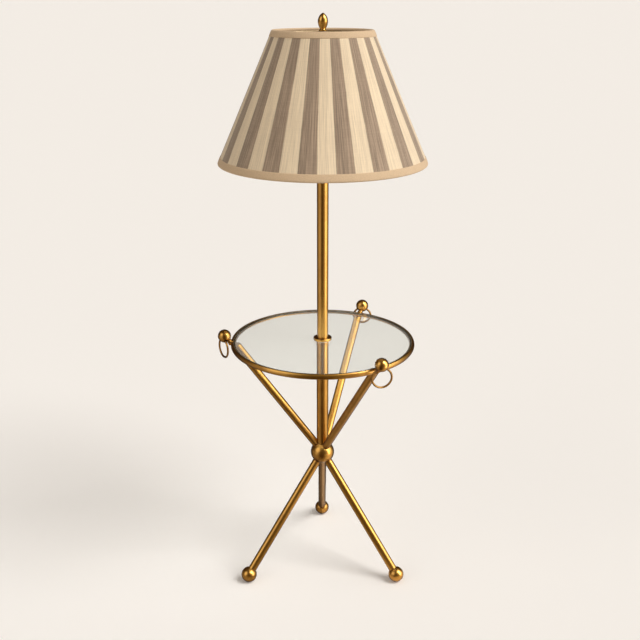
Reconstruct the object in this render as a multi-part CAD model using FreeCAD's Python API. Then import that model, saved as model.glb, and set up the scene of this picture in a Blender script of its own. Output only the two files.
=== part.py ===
import FreeCAD, Part
import math
import os

from FreeCAD import Vector

# Floor lamp with a round glass table, in aged brass.  Three legs come up to a hub ball and three
# rods go on from it to the table's rim, so that the frame looks crossed.  A column stands on the hub
# ball, passes through the glass and carries the lamp holder and a cone shade.  At the end of each rod
# a brass ball stands out from the rim on a beaded neck, and a loose pull ring hangs through the ball.
# Millimetres, +Z up; the origin is on the floor under the column.

# ---------------------------------------------------------------- driving dimensions

# Stance
LEG_NAMES = ("right", "back", "left")      # anticlockwise from the first leg
ROD_NAMES = ("front", "back", "left")      # anticlockwise from the first rod
LEG_TURN = -29.7                           # direction of the first leg, degrees from +X
ROD_TURN = -56.2                           # direction of the first rod
HUB_HEIGHT = 322.7                         # centre of the hub ball above the floor
FOOT_CIRCLE_RADIUS = 223.0                 # column's centreline to the centre of a foot ball
ROD_INSET = 12.5                           # rim's outermost line to a rod's axis under the rim
HUB_DIAMETER = 61.0
FOOT_BALL_DIAMETER = 40.0
LEG_DIAMETER = 21.0
ROD_DIAMETER = 20.0
TUBE_WALL = 1.5

# Foot balls and their pads
FOOT_FLAT_DEPTH = 18.5                     # ball's centre to the flat under it
PAD_DIAMETER = 14.0
PAD_THICKNESS = 2.5
PAD_RECESS = 1.0
PAD_CLEARANCE = 0.2                        # round the pad in its recess

# Studs and plugs that join the tubes to the balls
STUD_DIAMETER = 6.0
STUD_BALL_DEPTH = 12.0
STUD_PLUG_DEPTH = 12.0
THREAD_CLEARANCE = 0.05                    # radial, screwed and pressed joints alike
DRILL_CLEARANCE = 0.6                      # a blind hole past the end of what it holds
PLUG_LENGTH = 20.0
ROD_CAP_DEPTH = 16.0

# Column
LOWER_COLUMN_DIAMETER = 30.0
UPPER_COLUMN_DIAMETER = 28.0
COLUMN_WALL = 1.5
COLUMN_TOP = 1118.0
COLUMN_PLUG_LENGTH = 16.0
COUPLING_SPIGOT_LENGTH = 26.0              # into each of the two column tubes
COUPLING_BORE_DIAMETER = 12.0
COLUMN_CAP_THICKNESS = 4.0
COLUMN_CAP_SPIGOT_LENGTH = 12.0

# Threaded pipe through the hub, and through the lamp holder's foot
PIPE_DIAMETER = 10.0
PIPE_BORE_DIAMETER = 7.2
HUB_PIPE_DEPTH = 16.0                      # below the hub's centre
HUB_PIPE_HEIGHT = 42.0                     # above the hub's centre
CAP_PIPE_DEPTH = 18.0                      # below the top of the column

# Cord outlet under the hub
OUTLET_FLAT_DIAMETER = 16.0
OUTLET_FLANGE_DIAMETER = 14.0
OUTLET_FLANGE_THICKNESS = 1.6
OUTLET_SPIGOT_DIAMETER = 11.0
OUTLET_SPIGOT_LENGTH = 8.0

# Table
TABLE_HEIGHT = 639.0                       # top edge of the rim
RIM_HEIGHT = 12.6
RIM_BELLY_RADIUS = 230.5                   # outermost line of the rounded band
RIM_SWELL_DEPTH = 2.5                      # of the rounded band, past its top and bottom edges
RIM_FACE_WIDTH = 3.5                       # level top face of the upstanding wall
LEDGE_WIDTH = 7.0                          # of the ledge under the glass
LEDGE_THICKNESS = 3.0
STRIP_THICKNESS = 1.2                      # glazing strip, under the glass and round its edge
STRIP_LEDGE_WIDTH = 5.0                    # of the ledge that the strip covers
STRIP_CLEARANCE = 0.1
GLASS_THICKNESS = 8.0
GLASS_EDGE_BEVEL = 1.0
GLASS_HOLE_CLEARANCE = 2.0                 # round the column

# Collar on the glass
COLLAR_DIAMETER = 46.0
COLLAR_HEIGHT = 6.0
COLLAR_STEP_HEIGHT = 2.0                   # how far the lower column stands up inside it
COLLAR_CLEARANCE = 0.15
COLLAR_ROUND_RADIUS = 1.5
GASKET_DIAMETER = 42.0
GASKET_THICKNESS = 0.8
COLLAR_SCREW_DIAMETER = 2.5
COLLAR_SCREW_TURN = 90.0                   # at the back, out of sight

# Pull balls, necks and rings
PULL_BALL_DIAMETER = 33.0
BALL_OVERHANG_LENGTH = 15.0                # rim's outermost line to the ball's centre, outwards
BALL_RISE_HEIGHT = 14.5                    # rim's top edge to the ball's centre, upwards
NECK_FOOT_DEPTH = 6.0                      # start of the neck's axis, under the rim's top edge
NECK_BEAD_RADIUS = 7.6
NECK_BEAD_LENGTH = 4.8
NECK_WAIST_RADIUS = 5.2
NECK_WAIST_LENGTH = 1.2
NECK_TOP_BEAD_RADIUS = 6.8
NECK_TOP_BEAD_LENGTH = 3.4
NECK_BEAD_SHOULDER = 0.8                   # a bead's radius at its ends, under its middle
NECK_STUD_DEPTH = 5.4
RING_WIRE_DIAMETER = 5.0
RING_MEAN_RADIUS = 23.75
RING_BORE_DEPTH = 9.4                      # axis of the ball's cross bore under its centre
RING_BORE_OFFSET = 3.4                     # and out from it, to clear the neck
RING_BORE_CLEARANCE = 0.3                  # between the ring's wire and the bore's wall
RING_TWIST = (-20.0, 20.0, 28.0)           # each cross bore, turned from square to its rod

# Lamp holder
HOLDER_CAP_RADIUS = 17.0
HOLDER_CAP_HEIGHT = 15.0
HOLDER_CAP_BOSS_RADIUS = 8.0
HOLDER_CAP_BOSS_HEIGHT = 6.0
HOLDER_SHELL_RADIUS = 16.0
HOLDER_SHELL_HEIGHT = 46.0
HOLDER_SHELL_IN_CAP = 5.0
HOLDER_BEAD_RADIUS = 0.9
METAL_SHEET = 0.8
SLEEVE_THICKNESS = 0.8                     # insulating sleeve inside the shell
SLEEVE_CLEARANCE = 0.1
HOLDER_BODY_HEIGHT = 20.0
SCREW_SHELL_WALL = 0.5
SCREW_SHELL_HEIGHT = 24.0
CONTACT_RADIUS = 4.0
CONTACT_HEIGHT = 3.0
BULB_BASE_RADIUS = 13.0
BULB_BASE_LENGTH = 25.0
BULB_TIP_RADIUS = 5.0
BULB_TIP_LENGTH = 2.5
BULB_SCREW_CLEARANCE = 0.1
BULB_RADIUS = 30.0
BULB_NECK_RADIUS = 13.5
BULB_NECK_LENGTH = 12.0
BULB_FLARE_LENGTH = 34.0                   # from the neck to the round of the bulb
BULB_FLARE_HOLLOW = 1.4                    # of the curve between the neck and the round
BULB_WALL = 0.8
HARP_GAP_OVER_BULB = 120.8                 # up to the seat that carries the shade

# Switch key on the lamp holder
KEY_SHAFT_DIAMETER = 4.0
KEY_CLEARANCE = 0.05
KEY_GAP_OVER_CAP = 2.8                     # from the holder cap's edge up to the shaft
KEY_DEPTH = 7.0                            # shaft inside the holder body
KEY_SHAFT_LENGTH = 15.0                    # shaft outside the holder's shell
KEY_KNOB_RADIUS = 6.5
KEY_KNOB_LENGTH = 9.0
KEY_FLUTES = 12
KEY_FLUTE_RADIUS = 0.9

# Harp
SADDLE_WIDTH = 14.0
SADDLE_THICKNESS = 1.6
SADDLE_HALF_LENGTH = 28.0
SADDLE_POST_RADIUS = 2.6
SADDLE_POST_HEIGHT = 20.0
SADDLE_BORE_DEPTH = 12.0
HARP_WIRE_RADIUS = 1.6
HARP_FIT_CLEARANCE = 0.05
HARP_HALF_WIDTH = 60.0
HARP_SWAY_ANGLE = 40.0                     # how far each half leans out before it turns upright
HARP_LEG_HEIGHT = 14.0                     # straight wire above the posts
HARP_SHOULDER_RADIUS = 32.0
HARP_SEAT_RADIUS = 7.0
HARP_SEAT_THICKNESS = 4.0
FERRULE_WALL = 0.8
FERRULE_LENGTH = 16.0
FINIAL_STUD_DIAMETER = 6.4
FINIAL_STUD_LENGTH = 18.0                  # above the harp's seat

# Shade
SHADE_HEIGHT = 299.0
SHADE_TOP_RADIUS = 115.5                   # outside, over the trim
SHADE_BOTTOM_RADIUS = 247.6                # outside, over the trim
SHADE_SHEET = 1.2                          # fabric with its lining
TRIM_THICKNESS = 0.8
TOP_TRIM_WIDTH = 16.0
BOTTOM_TRIM_WIDTH = 18.0
TRIM_INNER_WIDTH = 9.0
TRIM_CLEARANCE = 0.25                      # between the fabric and the tape over it
SHADE_WIRE_DIAMETER = 4.0
SHADE_WIRE_CLEARANCE = 0.1
SPIDER_ARMS = 3
SPIDER_TURN = 90.0                         # direction of the first arm
FITTER_RADIUS = 13.0
FITTER_HOLE_RADIUS = 5.2
FITTER_THICKNESS = 2.0
FITTER_DEPTH = 4.0                         # fitter's upper face under the shade's top edge
TURNING_GAP = 0.3                          # between faces that turn on each other

# Finial
FINIAL_HEIGHT = 38.5
FINIAL_FOOT_RADIUS = 10.0
FINIAL_FOOT_HEIGHT = 1.8
FINIAL_NECK_RADIUS = 6.6
FINIAL_NECK_HEIGHT = 4.6
FINIAL_BELLY_RADIUS = 11.4
FINIAL_BELLY_HEIGHT = 19.5
FINIAL_TIP_RADIUS = 1.0
FINIAL_FLARE_DEPTH = 0.9                   # of the hollow between foot and neck, out from the neck
FINIAL_FLARE_SHARE = 0.35                  # where it is deepest, of the way up
FINIAL_LOWER_FULLNESS = 0.72               # halfway up to the belly, of its swelling
FINIAL_UPPER_FULLNESS = 0.79               # over the belly, of its radius
FINIAL_UPPER_SHARE = 0.56                  # where that is, of the way up to the tip

# ---------------------------------------------------------------- dependent sizes

UP = Vector(0, 0, 1)
LEG_SPACING = 360.0 / len(LEG_NAMES)
ROD_SPACING = 360.0 / len(ROD_NAMES)

HUB = Vector(0, 0, HUB_HEIGHT)
HUB_RADIUS = HUB_DIAMETER / 2
FOOT_RADIUS = FOOT_BALL_DIAMETER / 2
FOOT_HEIGHT = FOOT_FLAT_DEPTH + PAD_THICKNESS - PAD_RECESS
STUD_RADIUS = STUD_DIAMETER / 2
STUD_HOLE_RADIUS = STUD_RADIUS + THREAD_CLEARANCE

LOWER_COLUMN_RADIUS = LOWER_COLUMN_DIAMETER / 2
LOWER_COLUMN_BORE = LOWER_COLUMN_RADIUS - COLUMN_WALL
UPPER_COLUMN_RADIUS = UPPER_COLUMN_DIAMETER / 2
UPPER_COLUMN_BORE = UPPER_COLUMN_RADIUS - COLUMN_WALL
PIPE_RADIUS = PIPE_DIAMETER / 2
PIPE_HOLE_RADIUS = PIPE_RADIUS + THREAD_CLEARANCE
OUTLET_FLAT_DEPTH = math.sqrt(HUB_RADIUS ** 2 - (OUTLET_FLAT_DIAMETER / 2) ** 2)

RIM_BOTTOM = TABLE_HEIGHT - RIM_HEIGHT
RIM_EDGE_RADIUS = RIM_BELLY_RADIUS - RIM_SWELL_DEPTH
RIM_WALL_RADIUS = RIM_EDGE_RADIUS - RIM_FACE_WIDTH
LEDGE_RADIUS = RIM_WALL_RADIUS - LEDGE_WIDTH
ROD_CIRCLE_RADIUS = RIM_BELLY_RADIUS - ROD_INSET
LEDGE_TOP = RIM_BOTTOM + LEDGE_THICKNESS
GLASS_RADIUS = RIM_WALL_RADIUS - STRIP_THICKNESS - 2 * STRIP_CLEARANCE
GLASS_BOTTOM = LEDGE_TOP + STRIP_THICKNESS
GLASS_TOP = GLASS_BOTTOM + GLASS_THICKNESS
GLASS_HOLE_RADIUS = LOWER_COLUMN_RADIUS + GLASS_HOLE_CLEARANCE
COLLAR_BOTTOM = GLASS_TOP + GASKET_THICKNESS
COLUMN_SEAM = COLLAR_BOTTOM + COLLAR_STEP_HEIGHT

PULL_BALL_RADIUS = PULL_BALL_DIAMETER / 2
PULL_BALL_REACH = RIM_BELLY_RADIUS + BALL_OVERHANG_LENGTH
PULL_BALL_HEIGHT = TABLE_HEIGHT + BALL_RISE_HEIGHT
RING_WIRE_RADIUS = RING_WIRE_DIAMETER / 2
HALF_CHORD = math.sqrt(PULL_BALL_RADIUS ** 2 - RING_BORE_DEPTH ** 2 - RING_BORE_OFFSET ** 2)
RING_SAG = RING_MEAN_RADIUS - math.sqrt(RING_MEAN_RADIUS ** 2 - HALF_CHORD ** 2)
RING_CROWN_RISE = RING_SAG / 2             # ring's crown over the bore's axis, its exits as far under
RING_BORE_RADIUS = RING_CROWN_RISE + RING_WIRE_RADIUS + RING_BORE_CLEARANCE

SADDLE_TOP = COLUMN_TOP + COLUMN_CAP_THICKNESS + SADDLE_THICKNESS
HOLDER_BODY_BOTTOM = SADDLE_TOP + HOLDER_CAP_BOSS_HEIGHT + METAL_SHEET
HOLDER_SHELL_BOTTOM = SADDLE_TOP + HOLDER_CAP_HEIGHT - HOLDER_SHELL_IN_CAP
KEY_AXIS_HEIGHT = SADDLE_TOP + HOLDER_CAP_HEIGHT + KEY_GAP_OVER_CAP + KEY_SHAFT_DIAMETER / 2
HOLDER_SHELL_TOP = HOLDER_SHELL_BOTTOM + HOLDER_SHELL_HEIGHT
SLEEVE_RADIUS = HOLDER_SHELL_RADIUS - METAL_SHEET - SLEEVE_CLEARANCE
HOLDER_BODY_RADIUS = SLEEVE_RADIUS - SLEEVE_THICKNESS - SLEEVE_CLEARANCE
HOLDER_BODY_TOP = HOLDER_BODY_BOTTOM + HOLDER_BODY_HEIGHT
SCREW_SHELL_BORE = BULB_BASE_RADIUS + BULB_SCREW_CLEARANCE
BULB_BASE_BOTTOM = HOLDER_BODY_TOP + CONTACT_HEIGHT + BULB_TIP_LENGTH
BULB_GLASS_BOTTOM = BULB_BASE_BOTTOM + BULB_BASE_LENGTH

BULB_TOP = BULB_GLASS_BOTTOM + BULB_NECK_LENGTH + BULB_FLARE_LENGTH + BULB_RADIUS
HARP_SEAT_TOP = BULB_TOP + HARP_GAP_OVER_BULB
FITTER_BOTTOM = HARP_SEAT_TOP + TURNING_GAP
FITTER_TOP = FITTER_BOTTOM + FITTER_THICKNESS
SHADE_TOP = FITTER_TOP + FITTER_DEPTH
SHADE_BOTTOM = SHADE_TOP - SHADE_HEIGHT
FINIAL_BOTTOM = FITTER_TOP + TURNING_GAP
FINIAL_STUD_RADIUS = FINIAL_STUD_DIAMETER / 2

SHADE_SLANT = math.hypot(SHADE_TOP - SHADE_BOTTOM, SHADE_BOTTOM_RADIUS - SHADE_TOP_RADIUS)
SLANT_OUT = (SHADE_BOTTOM_RADIUS - SHADE_TOP_RADIUS) / SHADE_SLANT
SLANT_DOWN = (SHADE_TOP - SHADE_BOTTOM) / SHADE_SLANT
SHADE_WIRE_RADIUS = SHADE_WIRE_DIAMETER / 2
FABRIC_INSET = TRIM_THICKNESS + TRIM_CLEARANCE
TRIM_CHANNEL = TRIM_CLEARANCE + SHADE_SHEET + SHADE_WIRE_DIAMETER + 2 * SHADE_WIRE_CLEARANCE


# ---------------------------------------------------------------- shape helpers

def polar(reach, turn, height):
    """The point at a reach from the centreline, in a direction in degrees, at a height."""
    angle = math.radians(turn)
    return Vector(reach * math.cos(angle), reach * math.sin(angle), height)


def towards(start, end, distance):
    """The point at a distance from start on the line to end."""
    return start + (end - start).normalize() * distance


def bar(start, end, radius):
    """A round bar from start to end."""
    return Part.makeCylinder(radius, (end - start).Length, start, end - start)


def upright(radius, bottom, top):
    """A round bar on the centreline from one height to another."""
    return Part.makeCylinder(radius, top - bottom, Vector(0, 0, bottom))


def pipe(radius, bore, bottom, top):
    """A tube on the centreline from one height to another."""
    return upright(radius, bottom, top).cut(upright(bore, bottom, top))


def outline(*steps):
    """A face in the X-Z plane.  A step is (radius, height), or (mid r, mid h, r, h) for an arc."""
    edges = []
    here = Vector(steps[0][0], 0, steps[0][1])
    for step in steps[1:] + (steps[0],):
        there = Vector(step[-2], 0, step[-1])
        if len(step) == 4:
            middle = Vector(step[0], 0, step[1])
            edges.append(Part.Arc(here, middle, there).toShape())
        else:
            edges.append(Part.makeLine(here, there))
        here = there
    return Part.Face(Part.Wire(edges))


def turned(*steps):
    """A turned piece: the outline, spun about the centreline."""
    return outline(*steps).revolve(Vector(), UP, 360)


def aimed(shape, origin, direction):
    """The shape, made upright at zero, moved to an origin with its axis along a direction."""
    shape.Placement = FreeCAD.Placement(origin, FreeCAD.Rotation(UP, direction))
    return shape


def above(height):
    """A block over a height, across the table, that trims the ends of the rods."""
    reach = 2 * RIM_BELLY_RADIUS
    return Part.makeBox(2 * reach, 2 * reach, RIM_BELLY_RADIUS, Vector(-reach, -reach, height))


def stud_hole(centre, target, ball_radius):
    """The tapped hole from inside a ball into the plug of the tube that leads to target."""
    inner = towards(centre, target, ball_radius - STUD_BALL_DEPTH - DRILL_CLEARANCE)
    outer = towards(centre, target, ball_radius + STUD_PLUG_DEPTH + DRILL_CLEARANCE)
    return bar(inner, outer, STUD_HOLE_RADIUS)


def stud(centre, target, ball_radius):
    """A headless stud, half in a ball and half in the plug of a tube."""
    inner = towards(centre, target, ball_radius - STUD_BALL_DEPTH)
    outer = towards(centre, target, ball_radius + STUD_PLUG_DEPTH)
    return bar(inner, outer, STUD_RADIUS)


def end_plug(centre, target, ball_radius, tube_diameter):
    """The solid plug in the end of a tube that is coped to a ball."""
    radius = tube_diameter / 2 - TUBE_WALL - THREAD_CLEARANCE
    blank = bar(centre, towards(centre, target, ball_radius + PLUG_LENGTH), radius)
    return blank.cut(Part.makeSphere(ball_radius, centre)).cut(stud_hole(centre, target, ball_radius))


# ---------------------------------------------------------------- places of the limbs

FEET = [polar(FOOT_CIRCLE_RADIUS, LEG_TURN + LEG_SPACING * k, FOOT_HEIGHT) for k in range(len(LEG_NAMES))]
ROD_TURNS = [ROD_TURN + ROD_SPACING * k for k in range(len(ROD_NAMES))]
ROD_ENDS = [polar(ROD_CIRCLE_RADIUS, turn, RIM_BOTTOM) for turn in ROD_TURNS]
HUB_SPHERE = Part.makeSphere(HUB_RADIUS, HUB)
LOWER_COLUMN_BAR = upright(LOWER_COLUMN_RADIUS, HUB_HEIGHT, COLUMN_SEAM)


# ---------------------------------------------------------------- legs and feet

def leg(foot):
    """A leg tube, coped to the hub ball and to its foot ball."""
    tube = bar(HUB, foot, LEG_DIAMETER / 2).cut(bar(HUB, foot, LEG_DIAMETER / 2 - TUBE_WALL))
    return tube.cut(HUB_SPHERE).cut(Part.makeSphere(FOOT_RADIUS, foot))


def foot_ball(foot):
    """A foot ball with a flat underneath, a recess for its pad and the leg's stud hole."""
    floor_point = Vector(foot.x, foot.y, 0)
    flat_height = foot.z - FOOT_FLAT_DEPTH
    recess_radius = PAD_DIAMETER / 2 + PAD_CLEARANCE
    ball = Part.makeSphere(FOOT_RADIUS, foot)
    ball = ball.cut(Part.makeCylinder(FOOT_RADIUS, flat_height, floor_point))
    ball = ball.cut(Part.makeCylinder(recess_radius, flat_height + PAD_RECESS, floor_point))
    return ball.cut(stud_hole(foot, HUB, FOOT_RADIUS))


def foot_pad(foot):
    """The felt pad that stands on the floor."""
    return Part.makeCylinder(PAD_DIAMETER / 2, PAD_THICKNESS, Vector(foot.x, foot.y, 0))


# ---------------------------------------------------------------- hub

def hub_ball():
    """The hub ball, bored for the pipe and the six studs, with a flat for the cord outlet."""
    ball = HUB_SPHERE.cut(upright(HUB_RADIUS, HUB_HEIGHT - HUB_DIAMETER, HUB_HEIGHT - OUTLET_FLAT_DEPTH))
    ball = ball.cut(upright(PIPE_HOLE_RADIUS, HUB_HEIGHT - HUB_RADIUS, HUB_HEIGHT + HUB_RADIUS))
    spigot_hole = OUTLET_SPIGOT_DIAMETER / 2 + THREAD_CLEARANCE
    spigot_top = HUB_HEIGHT - OUTLET_FLAT_DEPTH + OUTLET_SPIGOT_LENGTH + DRILL_CLEARANCE
    ball = ball.cut(upright(spigot_hole, HUB_HEIGHT - HUB_RADIUS, spigot_top))
    for target in FEET + ROD_ENDS:
        ball = ball.cut(stud_hole(HUB, target, HUB_RADIUS))
    return ball


def cord_outlet():
    """The flanged bush under the hub that a flexible cord leaves through."""
    seat = HUB_HEIGHT - OUTLET_FLAT_DEPTH
    bore = PIPE_BORE_DIAMETER / 2
    flange = OUTLET_FLANGE_DIAMETER / 2
    spigot = OUTLET_SPIGOT_DIAMETER / 2
    low = seat - OUTLET_FLANGE_THICKNESS
    soft = OUTLET_FLANGE_THICKNESS / 2
    bulge = soft * math.sqrt(0.5)
    return turned(
        (flange - soft, low), (flange - soft + bulge, low + soft - bulge, flange, low + soft),
        (flange, seat), (spigot, seat), (spigot, seat + OUTLET_SPIGOT_LENGTH),
        (bore, seat + OUTLET_SPIGOT_LENGTH), (bore, low + soft),
        (bore + soft - bulge, low + soft - bulge, bore + soft, low))


def hub_pipe():
    """The threaded pipe that ties the column to the hub ball."""
    bottom = HUB_HEIGHT - HUB_PIPE_DEPTH
    top = HUB_HEIGHT + HUB_PIPE_HEIGHT
    return pipe(PIPE_RADIUS, PIPE_BORE_DIAMETER / 2, bottom, top)


# ---------------------------------------------------------------- table rods

def rod(end):
    """A table rod: coped to the hub ball and the column, and cut level under the rim."""
    past = towards(HUB, end, (end - HUB).Length + ROD_DIAMETER)
    tube = bar(HUB, past, ROD_DIAMETER / 2).cut(bar(HUB, past, ROD_DIAMETER / 2 - TUBE_WALL))
    return tube.cut(HUB_SPHERE).cut(LOWER_COLUMN_BAR).cut(above(RIM_BOTTOM))


def rod_cap(end):
    """The plug that closes a rod's level upper end."""
    length = (end - HUB).Length
    radius = ROD_DIAMETER / 2 - TUBE_WALL - THREAD_CLEARANCE
    low = towards(HUB, end, length - ROD_CAP_DEPTH)
    high = towards(HUB, end, length + ROD_DIAMETER)
    return bar(low, high, radius).cut(above(RIM_BOTTOM))


# ---------------------------------------------------------------- column

def lower_column():
    """The column's lower tube, from the hub ball to just over the glass."""
    bore = upright(LOWER_COLUMN_BORE, HUB_HEIGHT, COLUMN_SEAM)
    return LOWER_COLUMN_BAR.cut(bore).cut(HUB_SPHERE)


def column_plug():
    """The plug in the column's foot that screws onto the hub's pipe."""
    radius = LOWER_COLUMN_BORE - THREAD_CLEARANCE
    top = HUB_HEIGHT + HUB_RADIUS + COLUMN_PLUG_LENGTH
    return pipe(radius, PIPE_HOLE_RADIUS, HUB_HEIGHT, top).cut(HUB_SPHERE)


def column_coupling():
    """The turned joint inside the two column tubes, level with the collar."""
    low = LOWER_COLUMN_BORE - THREAD_CLEARANCE
    high = UPPER_COLUMN_BORE - THREAD_CLEARANCE
    bore = COUPLING_BORE_DIAMETER / 2
    bottom = COLUMN_SEAM - COUPLING_SPIGOT_LENGTH
    top = COLUMN_SEAM + COUPLING_SPIGOT_LENGTH
    return turned(
        (bore, bottom), (low, bottom), (low, COLUMN_SEAM),
        (high, COLUMN_SEAM), (high, top), (bore, top))


def upper_column():
    """The column's upper tube, from the collar to the lamp holder."""
    return pipe(UPPER_COLUMN_RADIUS, UPPER_COLUMN_BORE, COLUMN_SEAM, COLUMN_TOP)


def column_cap():
    """The turned cap that closes the column and carries the harp's saddle."""
    top = COLUMN_TOP + COLUMN_CAP_THICKNESS
    spigot = UPPER_COLUMN_BORE - THREAD_CLEARANCE
    soft = COLUMN_CAP_THICKNESS / 2
    bulge = soft * math.sqrt(0.5)
    edge = UPPER_COLUMN_RADIUS - soft
    bottom = COLUMN_TOP - COLUMN_CAP_SPIGOT_LENGTH
    return turned(
        (PIPE_HOLE_RADIUS, bottom), (spigot, bottom),
        (spigot, COLUMN_TOP), (UPPER_COLUMN_RADIUS, COLUMN_TOP), (UPPER_COLUMN_RADIUS, top - soft),
        (edge + bulge, top - soft + bulge, edge, top), (PIPE_HOLE_RADIUS, top))


def cap_pipe():
    """The threaded pipe from the column's cap through the saddle into the lamp holder."""
    top = SADDLE_TOP + HOLDER_CAP_BOSS_HEIGHT
    return pipe(PIPE_RADIUS, PIPE_BORE_DIAMETER / 2, COLUMN_TOP - CAP_PIPE_DEPTH, top)


# ---------------------------------------------------------------- table

def table_rim():
    """The rim: a band with a rounded outer face, and a ledge inside it for the glass."""
    middle = RIM_BOTTOM + RIM_HEIGHT / 2
    return turned(
        (LEDGE_RADIUS, RIM_BOTTOM), (RIM_EDGE_RADIUS, RIM_BOTTOM),
        (RIM_BELLY_RADIUS, middle, RIM_EDGE_RADIUS, TABLE_HEIGHT), (RIM_WALL_RADIUS, TABLE_HEIGHT),
        (RIM_WALL_RADIUS, LEDGE_TOP), (LEDGE_RADIUS, LEDGE_TOP))


def rim_envelope():
    """The rim's outer form, filled in to the centreline."""
    middle = RIM_BOTTOM + RIM_HEIGHT / 2
    return turned(
        (0, RIM_BOTTOM), (RIM_EDGE_RADIUS, RIM_BOTTOM),
        (RIM_BELLY_RADIUS, middle, RIM_EDGE_RADIUS, TABLE_HEIGHT), (0, TABLE_HEIGHT))


def glazing_strip():
    """The dark strip that beds the glass on the ledge and keeps its edge off the wall."""
    outer = RIM_WALL_RADIUS - STRIP_CLEARANCE
    lip = outer - STRIP_THICKNESS
    inner = outer - STRIP_LEDGE_WIDTH
    return turned(
        (inner, LEDGE_TOP), (outer, LEDGE_TOP), (outer, GLASS_TOP), (lip, GLASS_TOP),
        (lip, GLASS_BOTTOM), (inner, GLASS_BOTTOM))


def glass_top():
    """The round glass with bevelled edges and the column's hole."""
    bevel = GLASS_EDGE_BEVEL
    return turned(
        (GLASS_HOLE_RADIUS, GLASS_BOTTOM), (GLASS_RADIUS - bevel, GLASS_BOTTOM),
        (GLASS_RADIUS, GLASS_BOTTOM + bevel), (GLASS_RADIUS, GLASS_TOP - bevel),
        (GLASS_RADIUS - bevel, GLASS_TOP), (GLASS_HOLE_RADIUS, GLASS_TOP))


def collar_gasket():
    """The clear washer between the collar and the glass."""
    return pipe(GASKET_DIAMETER / 2, GLASS_HOLE_RADIUS, GLASS_TOP, COLLAR_BOTTOM)


def collar_screw_bar(radius, start, end):
    """A radial bar at the collar screw's place, from one reach to another."""
    height = COLUMN_SEAM + (COLLAR_HEIGHT - COLLAR_STEP_HEIGHT) / 2
    return bar(polar(start, COLLAR_SCREW_TURN, height), polar(end, COLLAR_SCREW_TURN, height), radius)


def glass_collar():
    """The collar on the glass that hides the hole and the column's seam."""
    outer = COLLAR_DIAMETER / 2
    low = LOWER_COLUMN_RADIUS + COLLAR_CLEARANCE
    high = UPPER_COLUMN_RADIUS + COLLAR_CLEARANCE
    top = COLLAR_BOTTOM + COLLAR_HEIGHT
    edge = outer - COLLAR_ROUND_RADIUS
    bulge = COLLAR_ROUND_RADIUS * math.sqrt(0.5)
    step = COLUMN_SEAM + COLLAR_CLEARANCE
    shoulder = top - COLLAR_ROUND_RADIUS
    ring = turned(
        (low, COLLAR_BOTTOM), (outer, COLLAR_BOTTOM), (outer, shoulder),
        (edge + bulge, shoulder + bulge, edge, top), (high, top), (high, step), (low, step))
    hole = COLLAR_SCREW_DIAMETER / 2 + THREAD_CLEARANCE
    return ring.cut(collar_screw_bar(hole, UPPER_COLUMN_RADIUS / 2, COLLAR_DIAMETER))


def collar_screw():
    """The headless screw that locks the collar on the column."""
    head = COLLAR_DIAMETER / 2 - COLLAR_ROUND_RADIUS
    return collar_screw_bar(COLLAR_SCREW_DIAMETER / 2, UPPER_COLUMN_RADIUS, head)


# ---------------------------------------------------------------- pull balls, necks and rings

def pull_centre(turn):
    """Centre of the pull ball in a direction."""
    return polar(PULL_BALL_REACH, turn, PULL_BALL_HEIGHT)


def neck_foot(turn):
    """Where the neck's axis starts, inside the rim's band."""
    return polar(RIM_EDGE_RADIUS, turn, TABLE_HEIGHT - NECK_FOOT_DEPTH)


def neck_stud(turn, radius, overrun=0.0):
    """The neck's stud, from its waist into the ball."""
    foot, centre = neck_foot(turn), pull_centre(turn)
    length = (centre - foot).Length - PULL_BALL_RADIUS + NECK_STUD_DEPTH + overrun
    return bar(towards(foot, centre, NECK_BEAD_LENGTH), towards(foot, centre, length), radius)


def neck(turn):
    """The beaded neck, brazed to the rim's outer face and coped to the pull ball."""
    foot, centre = neck_foot(turn), pull_centre(turn)
    length = (centre - foot).Length
    low_end = NECK_BEAD_RADIUS - NECK_BEAD_SHOULDER
    high_end = NECK_TOP_BEAD_RADIUS - NECK_BEAD_SHOULDER
    waist = NECK_BEAD_LENGTH + NECK_WAIST_LENGTH
    crest = waist + NECK_TOP_BEAD_LENGTH
    body = turned(
        (0, 0), (low_end, 0), (NECK_BEAD_RADIUS, NECK_BEAD_LENGTH / 2, low_end, NECK_BEAD_LENGTH),
        (NECK_WAIST_RADIUS, NECK_BEAD_LENGTH), (NECK_WAIST_RADIUS, waist), (high_end, waist),
        (NECK_TOP_BEAD_RADIUS, (waist + crest) / 2, high_end, crest), (NECK_WAIST_RADIUS, crest),
        (NECK_WAIST_RADIUS, length), (0, length))
    body = aimed(body, foot, centre - foot).cut(Part.makeSphere(PULL_BALL_RADIUS, centre))
    return body.fuse(neck_stud(turn, STUD_RADIUS)).cut(rim_envelope()).removeSplitter()


def ring_axis(turn, twist):
    """A point on the axis that a pull ring swings about, and the axis's direction."""
    centre = pull_centre(turn) + polar(RING_BORE_OFFSET, turn + twist, -RING_BORE_DEPTH)
    return centre, polar(1, turn + 90 + twist, 0)


def pull_ball(turn, twist):
    """A pull ball with the neck's hole and the cross bore that its ring hangs in."""
    point, axis = ring_axis(turn, twist)
    ball = Part.makeSphere(PULL_BALL_RADIUS, pull_centre(turn))
    ball = ball.cut(neck_stud(turn, STUD_HOLE_RADIUS, THREAD_CLEARANCE))
    reach = axis * PULL_BALL_DIAMETER
    return ball.cut(bar(point - reach, point + reach, RING_BORE_RADIUS))


def pull_ring(turn, twist):
    """A pull ring, hanging plumb through its ball."""
    point, axis = ring_axis(turn, twist)
    centre = point + UP * (RING_CROWN_RISE - RING_MEAN_RADIUS)
    return Part.makeTorus(RING_MEAN_RADIUS, RING_WIRE_RADIUS, centre, axis.cross(UP))


# ---------------------------------------------------------------- harp

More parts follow.
